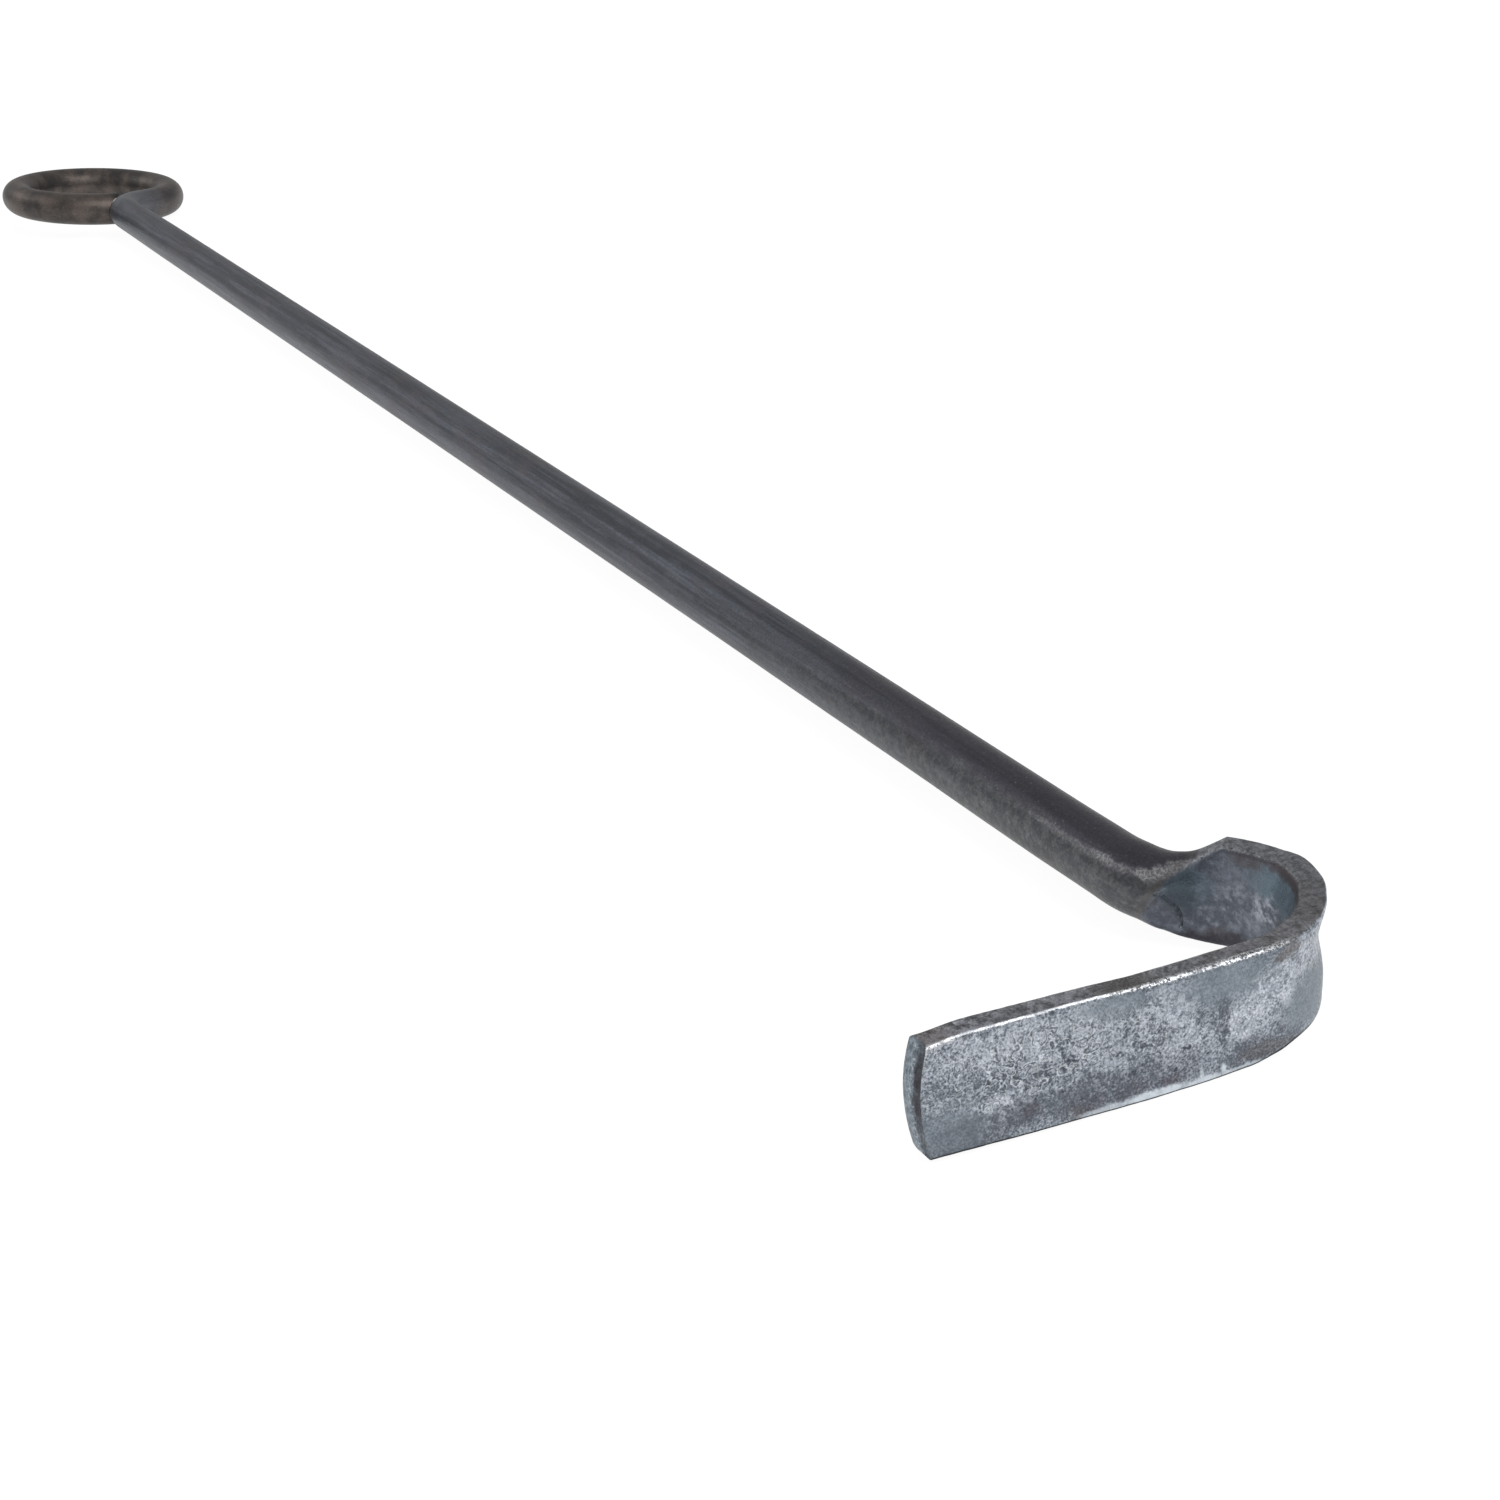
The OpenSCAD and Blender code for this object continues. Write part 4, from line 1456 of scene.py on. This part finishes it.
def finish_material(name, skin):
    """A steel whose colour, roughness and height come from a function that adds its nodes."""
    material = bpy.data.materials.new(name)
    material.use_nodes = True
    tree = material.node_tree
    tree.nodes.clear()
    place = attribute(tree, "straight")
    colour, roughness, height, metallic = skin(tree, place, attribute(tree, "outward"))
    bumps = {"Height": height, "Strength": BUMP_STRENGTH, "Distance": BUMP_REACH}
    bump = add_node(tree, "ShaderNodeBump", bumps)
    shader = add_node(
        tree,
        "ShaderNodeBsdfPrincipled",
        {"Base Color": colour, "Roughness": roughness, "Metallic": metallic, "Normal": bump.outputs[0]},
    )
    add_node(tree, "ShaderNodeOutputMaterial", {"Surface": shader.outputs[0]})
    return material


print("metallic", METALLIC, "and bumps up to", round(BUMP_REACH / MM, 3), "mm")

# %% Say how the bar and the strap look
def bar_look(tree, place, outward):
    """The round bar's skin, which is the same on all sides, so outward isn't used."""
    skin = place_group(tree, bar_skin, Place=place)
    return skin["Color"], skin["Roughness"], skin["Height"], METALLIC


def strap_look(tree, place, outward):
    """The strap's skin. Its underside, painted dark as shade, is dull, so it doesn't mirror the white ground.
    """
    skin = place_group(tree, strap_skin, Place=place, Outward=outward)
    return skin["Color"], skin["Roughness"], skin["Height"], between(tree, skin["Soot"], METALLIC, 0.0)


print("a look returns its colour, roughness, height and metallic")

# %% Blend the two along the crease
def facet_mask_group():
    """1 on the strap's side of the crease, with a border that noise has eaten, and the crease's lip."""
    tree, given, made = group_tree(
        "facet_mask",
        "ShaderNodeTree",
        [("Place", "NodeSocketVector", None)],
        [("Mask", "NodeSocketFloat"), ("Lip", "NodeSocketFloat")],
    )
    _, along, up = split(tree, pushed(tree, given["Place"], 1.8 * MM, 0.9 * MM, 7.0))
    over = less(tree, up, CREASE_LOW)
    bow = times(tree, over, over, CREASE_BEND)
    crease = total(tree, CREASE_AT, times(tree, over, CREASE_SLANT), bow)
    past = less(tree, less(tree, SHANK_START, along), crease)
    plug(tree, made["Mask"], rise(tree, past, -0.5 * MM, 0.8 * MM))
    plug(tree, made["Lip"], rise(tree, far_from(tree, past, -0.7 * MM), 0.9 * MM, 0.2 * MM))
    return tree


facet_mask = facet_mask_group()
print("the facet's mask has", len(facet_mask.nodes), "nodes")


def neck_look(tree, place, outward):
    """The strap's skin up to the crease, a brownish lip, and then the round bar's skin."""
    strap = place_group(tree, strap_skin, Place=place, Outward=outward)
    bar = place_group(tree, bar_skin, Place=place)
    facet = place_group(tree, facet_mask, Place=place)
    colour = coat(tree, times(tree, facet["Lip"], 0.3), bar["Color"], tone(104, 100, 98))
    colour = coat(tree, facet["Mask"], colour, strap["Color"])
    height = calculate(tree, "MULTIPLY_ADD", facet["Mask"], strap["Height"], bar["Height"])
    return colour, bar["Roughness"], height, METALLIC


# %% Make the finishes
finishes = {
    "handle_steel": finish_material("handle_steel", bar_look),
    "shank_steel": finish_material("shank_steel", bar_look),
    "neck_steel": finish_material("neck_steel", neck_look),
    "strap_steel": finish_material("strap_steel", strap_look),
}
print("finishes:", list(finishes))

# %% [markdown]
# ## Forge the six pieces
# Each blank goes through the tree with its own finish. The result is kept as a plain mesh and the
# tree is taken off, because other programs can't run it. The faces are shaded smooth, except over
# edges sharper than SHARP_ANGLE, such as the rim of a cut end. Each piece's size is printed.

# %% Bend each blank
SLOTS = {
    "ring_handle": "handle_steel",
    "ring_root": "handle_steel",
    "shank": "shank_steel",
    "neck": "neck_steel",
    "crook": "strap_steel",
    "blade": "strap_steel",
}
SHARP_ANGLE = math.radians(50)


def bend(piece, finish):
    """Runs the tree on a blank and keeps the result as a plain mesh."""
    modifier = piece.modifiers.new("hammer_and_bend", "NODES")
    modifier.node_group = hammer_and_bend
    wanted = {"Path": bar_path, "Finish": finish}
    for item in hammer_and_bend.interface.items_tree:
        if item.in_out == "INPUT" and item.name in wanted:
            modifier[item.identifier] = wanted[item.name]
    depsgraph = bpy.context.evaluated_depsgraph_get()
    bent = bpy.data.meshes.new_from_object(piece.evaluated_get(depsgraph), depsgraph=depsgraph)
    piece.modifiers.remove(modifier)
    blank_mesh = piece.data
    piece.data = bent
    bpy.data.meshes.remove(blank_mesh)
    bent.name = piece.name
    bent.shade_smooth()
    bent.set_sharp_from_angle(angle=SHARP_ANGLE)
    return piece


for node, slot in SLOTS.items():
    piece = bend(blanks[node], finishes[slot])
    piece.name = "forged_" + node
    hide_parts(node)
    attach(piece, "root")
    points = np.array([vertex.co for vertex in piece.data.vertices]) / MM
    low = points.min(axis=0).round(2)
    high = points.max(axis=0).round(2)
    print(piece.name, len(piece.data.polygons), "faces, mm", low, high)
bpy.data.objects.remove(bar_path)

# %% [markdown]
# ## Stage
# The photograph is cut out on white, with hardly a shadow. So the rake lies on a large floor that
# glows white for the camera and in reflections, and that is plain paper for all other light. Three
# softboxes light it: a large one above the head, and two smaller ones lower down, behind it and at
# its side. Each is given by how bright it looks, and its power is worked out from that.

# %% Lay the floor
FLOOR_HALF = 8.0
FLOOR_TONE = (0.86, 0.86, 0.87, 1)
FLOOR_GLOW = 1.12
GLOW_SHARE = 0.84


def add_floor():
    """A paper floor that also glows for the camera and in reflections."""
    mesh = bpy.data.meshes.new("floor")
    corners = [(x * FLOOR_HALF, y * FLOOR_HALF, 0) for x, y in ((-1, -1), (1, -1), (1, 1), (-1, 1))]
    mesh.from_pydata(corners, [], [(0, 1, 2, 3)])
    floor = bpy.data.objects.new("floor", mesh)
    bpy.context.scene.collection.objects.link(floor)
    material = bpy.data.materials.new("paper_floor")
    material.use_nodes = True
    tree = material.node_tree
    tree.nodes.clear()
    diffuse = add_node(tree, "ShaderNodeBsdfDiffuse", {"Color": FLOOR_TONE})
    glow = add_node(tree, "ShaderNodeEmission", {"Color": (1, 1, 1, 1), "Strength": FLOOR_GLOW})
    rays = tree.nodes.new("ShaderNodeLightPath").outputs
    seen = most(tree, rays["Is Camera Ray"], rays["Is Glossy Ray"], rays["Is Transmission Ray"])
    share = times(tree, seen, GLOW_SHARE)
    mix = add_node(tree, "ShaderNodeMixShader", {0: share, 1: diffuse.outputs[0], 2: glow.outputs[0]})
    add_node(tree, "ShaderNodeOutputMaterial", {"Surface": mix.outputs[0]})
    mesh.materials.append(material)
    return floor


add_floor()
print("the floor is", 2 * FLOOR_HALF, "m wide")

# %% Place the lights
HEAD_PLACE = Vector((0, -0.36, 0.02))
# Each softbox: the way to it from the head, its distance, width and height (m), and its brightness.
SOFTBOXES = {
    "front_softbox": ((0.25, -0.47, 0.84), 1.8, 1.2, 1.2, 3.2),
    "back_softbox": ((-0.403, 0.8, 0.442), 2.4, 0.9, 0.5, 2.0),
    "side_softbox": ((-0.6, 0.54, 0.59), 2.4, 0.9, 0.6, 1.7),
}
WORLD_TONE = 0.5


def add_softbox(name, direction, distance, width, height, radiance):
    """A rectangular lamp that faces the head. Its power is worked out from how bright it looks."""
    data = bpy.data.lights.new(name, "AREA")
    data.shape = "RECTANGLE"
    data.size = width
    data.size_y = height
    data.energy = radiance * math.pi * width * height
    lamp = bpy.data.objects.new(name, data)
    way = Vector(direction).normalized()
    lamp.location = HEAD_PLACE + way * distance
    lamp.rotation_mode = "QUATERNION"
    lamp.rotation_quaternion = way.to_track_quat("Z", "Y")
    bpy.context.scene.collection.objects.link(lamp)
    return lamp


for name, values in SOFTBOXES.items():
    softbox = add_softbox(name, *values)
    print(name, round(softbox.data.energy, 2), "W")

world = bpy.data.worlds.new("studio")
world.use_nodes = True
background = world.node_tree.nodes["Background"].inputs
background["Color"].default_value = (WORLD_TONE, WORLD_TONE, WORLD_TONE, 1)
background["Strength"].default_value = 1.0
bpy.context.scene.world = world
bpy.context.scene.view_settings.view_transform = "Standard"
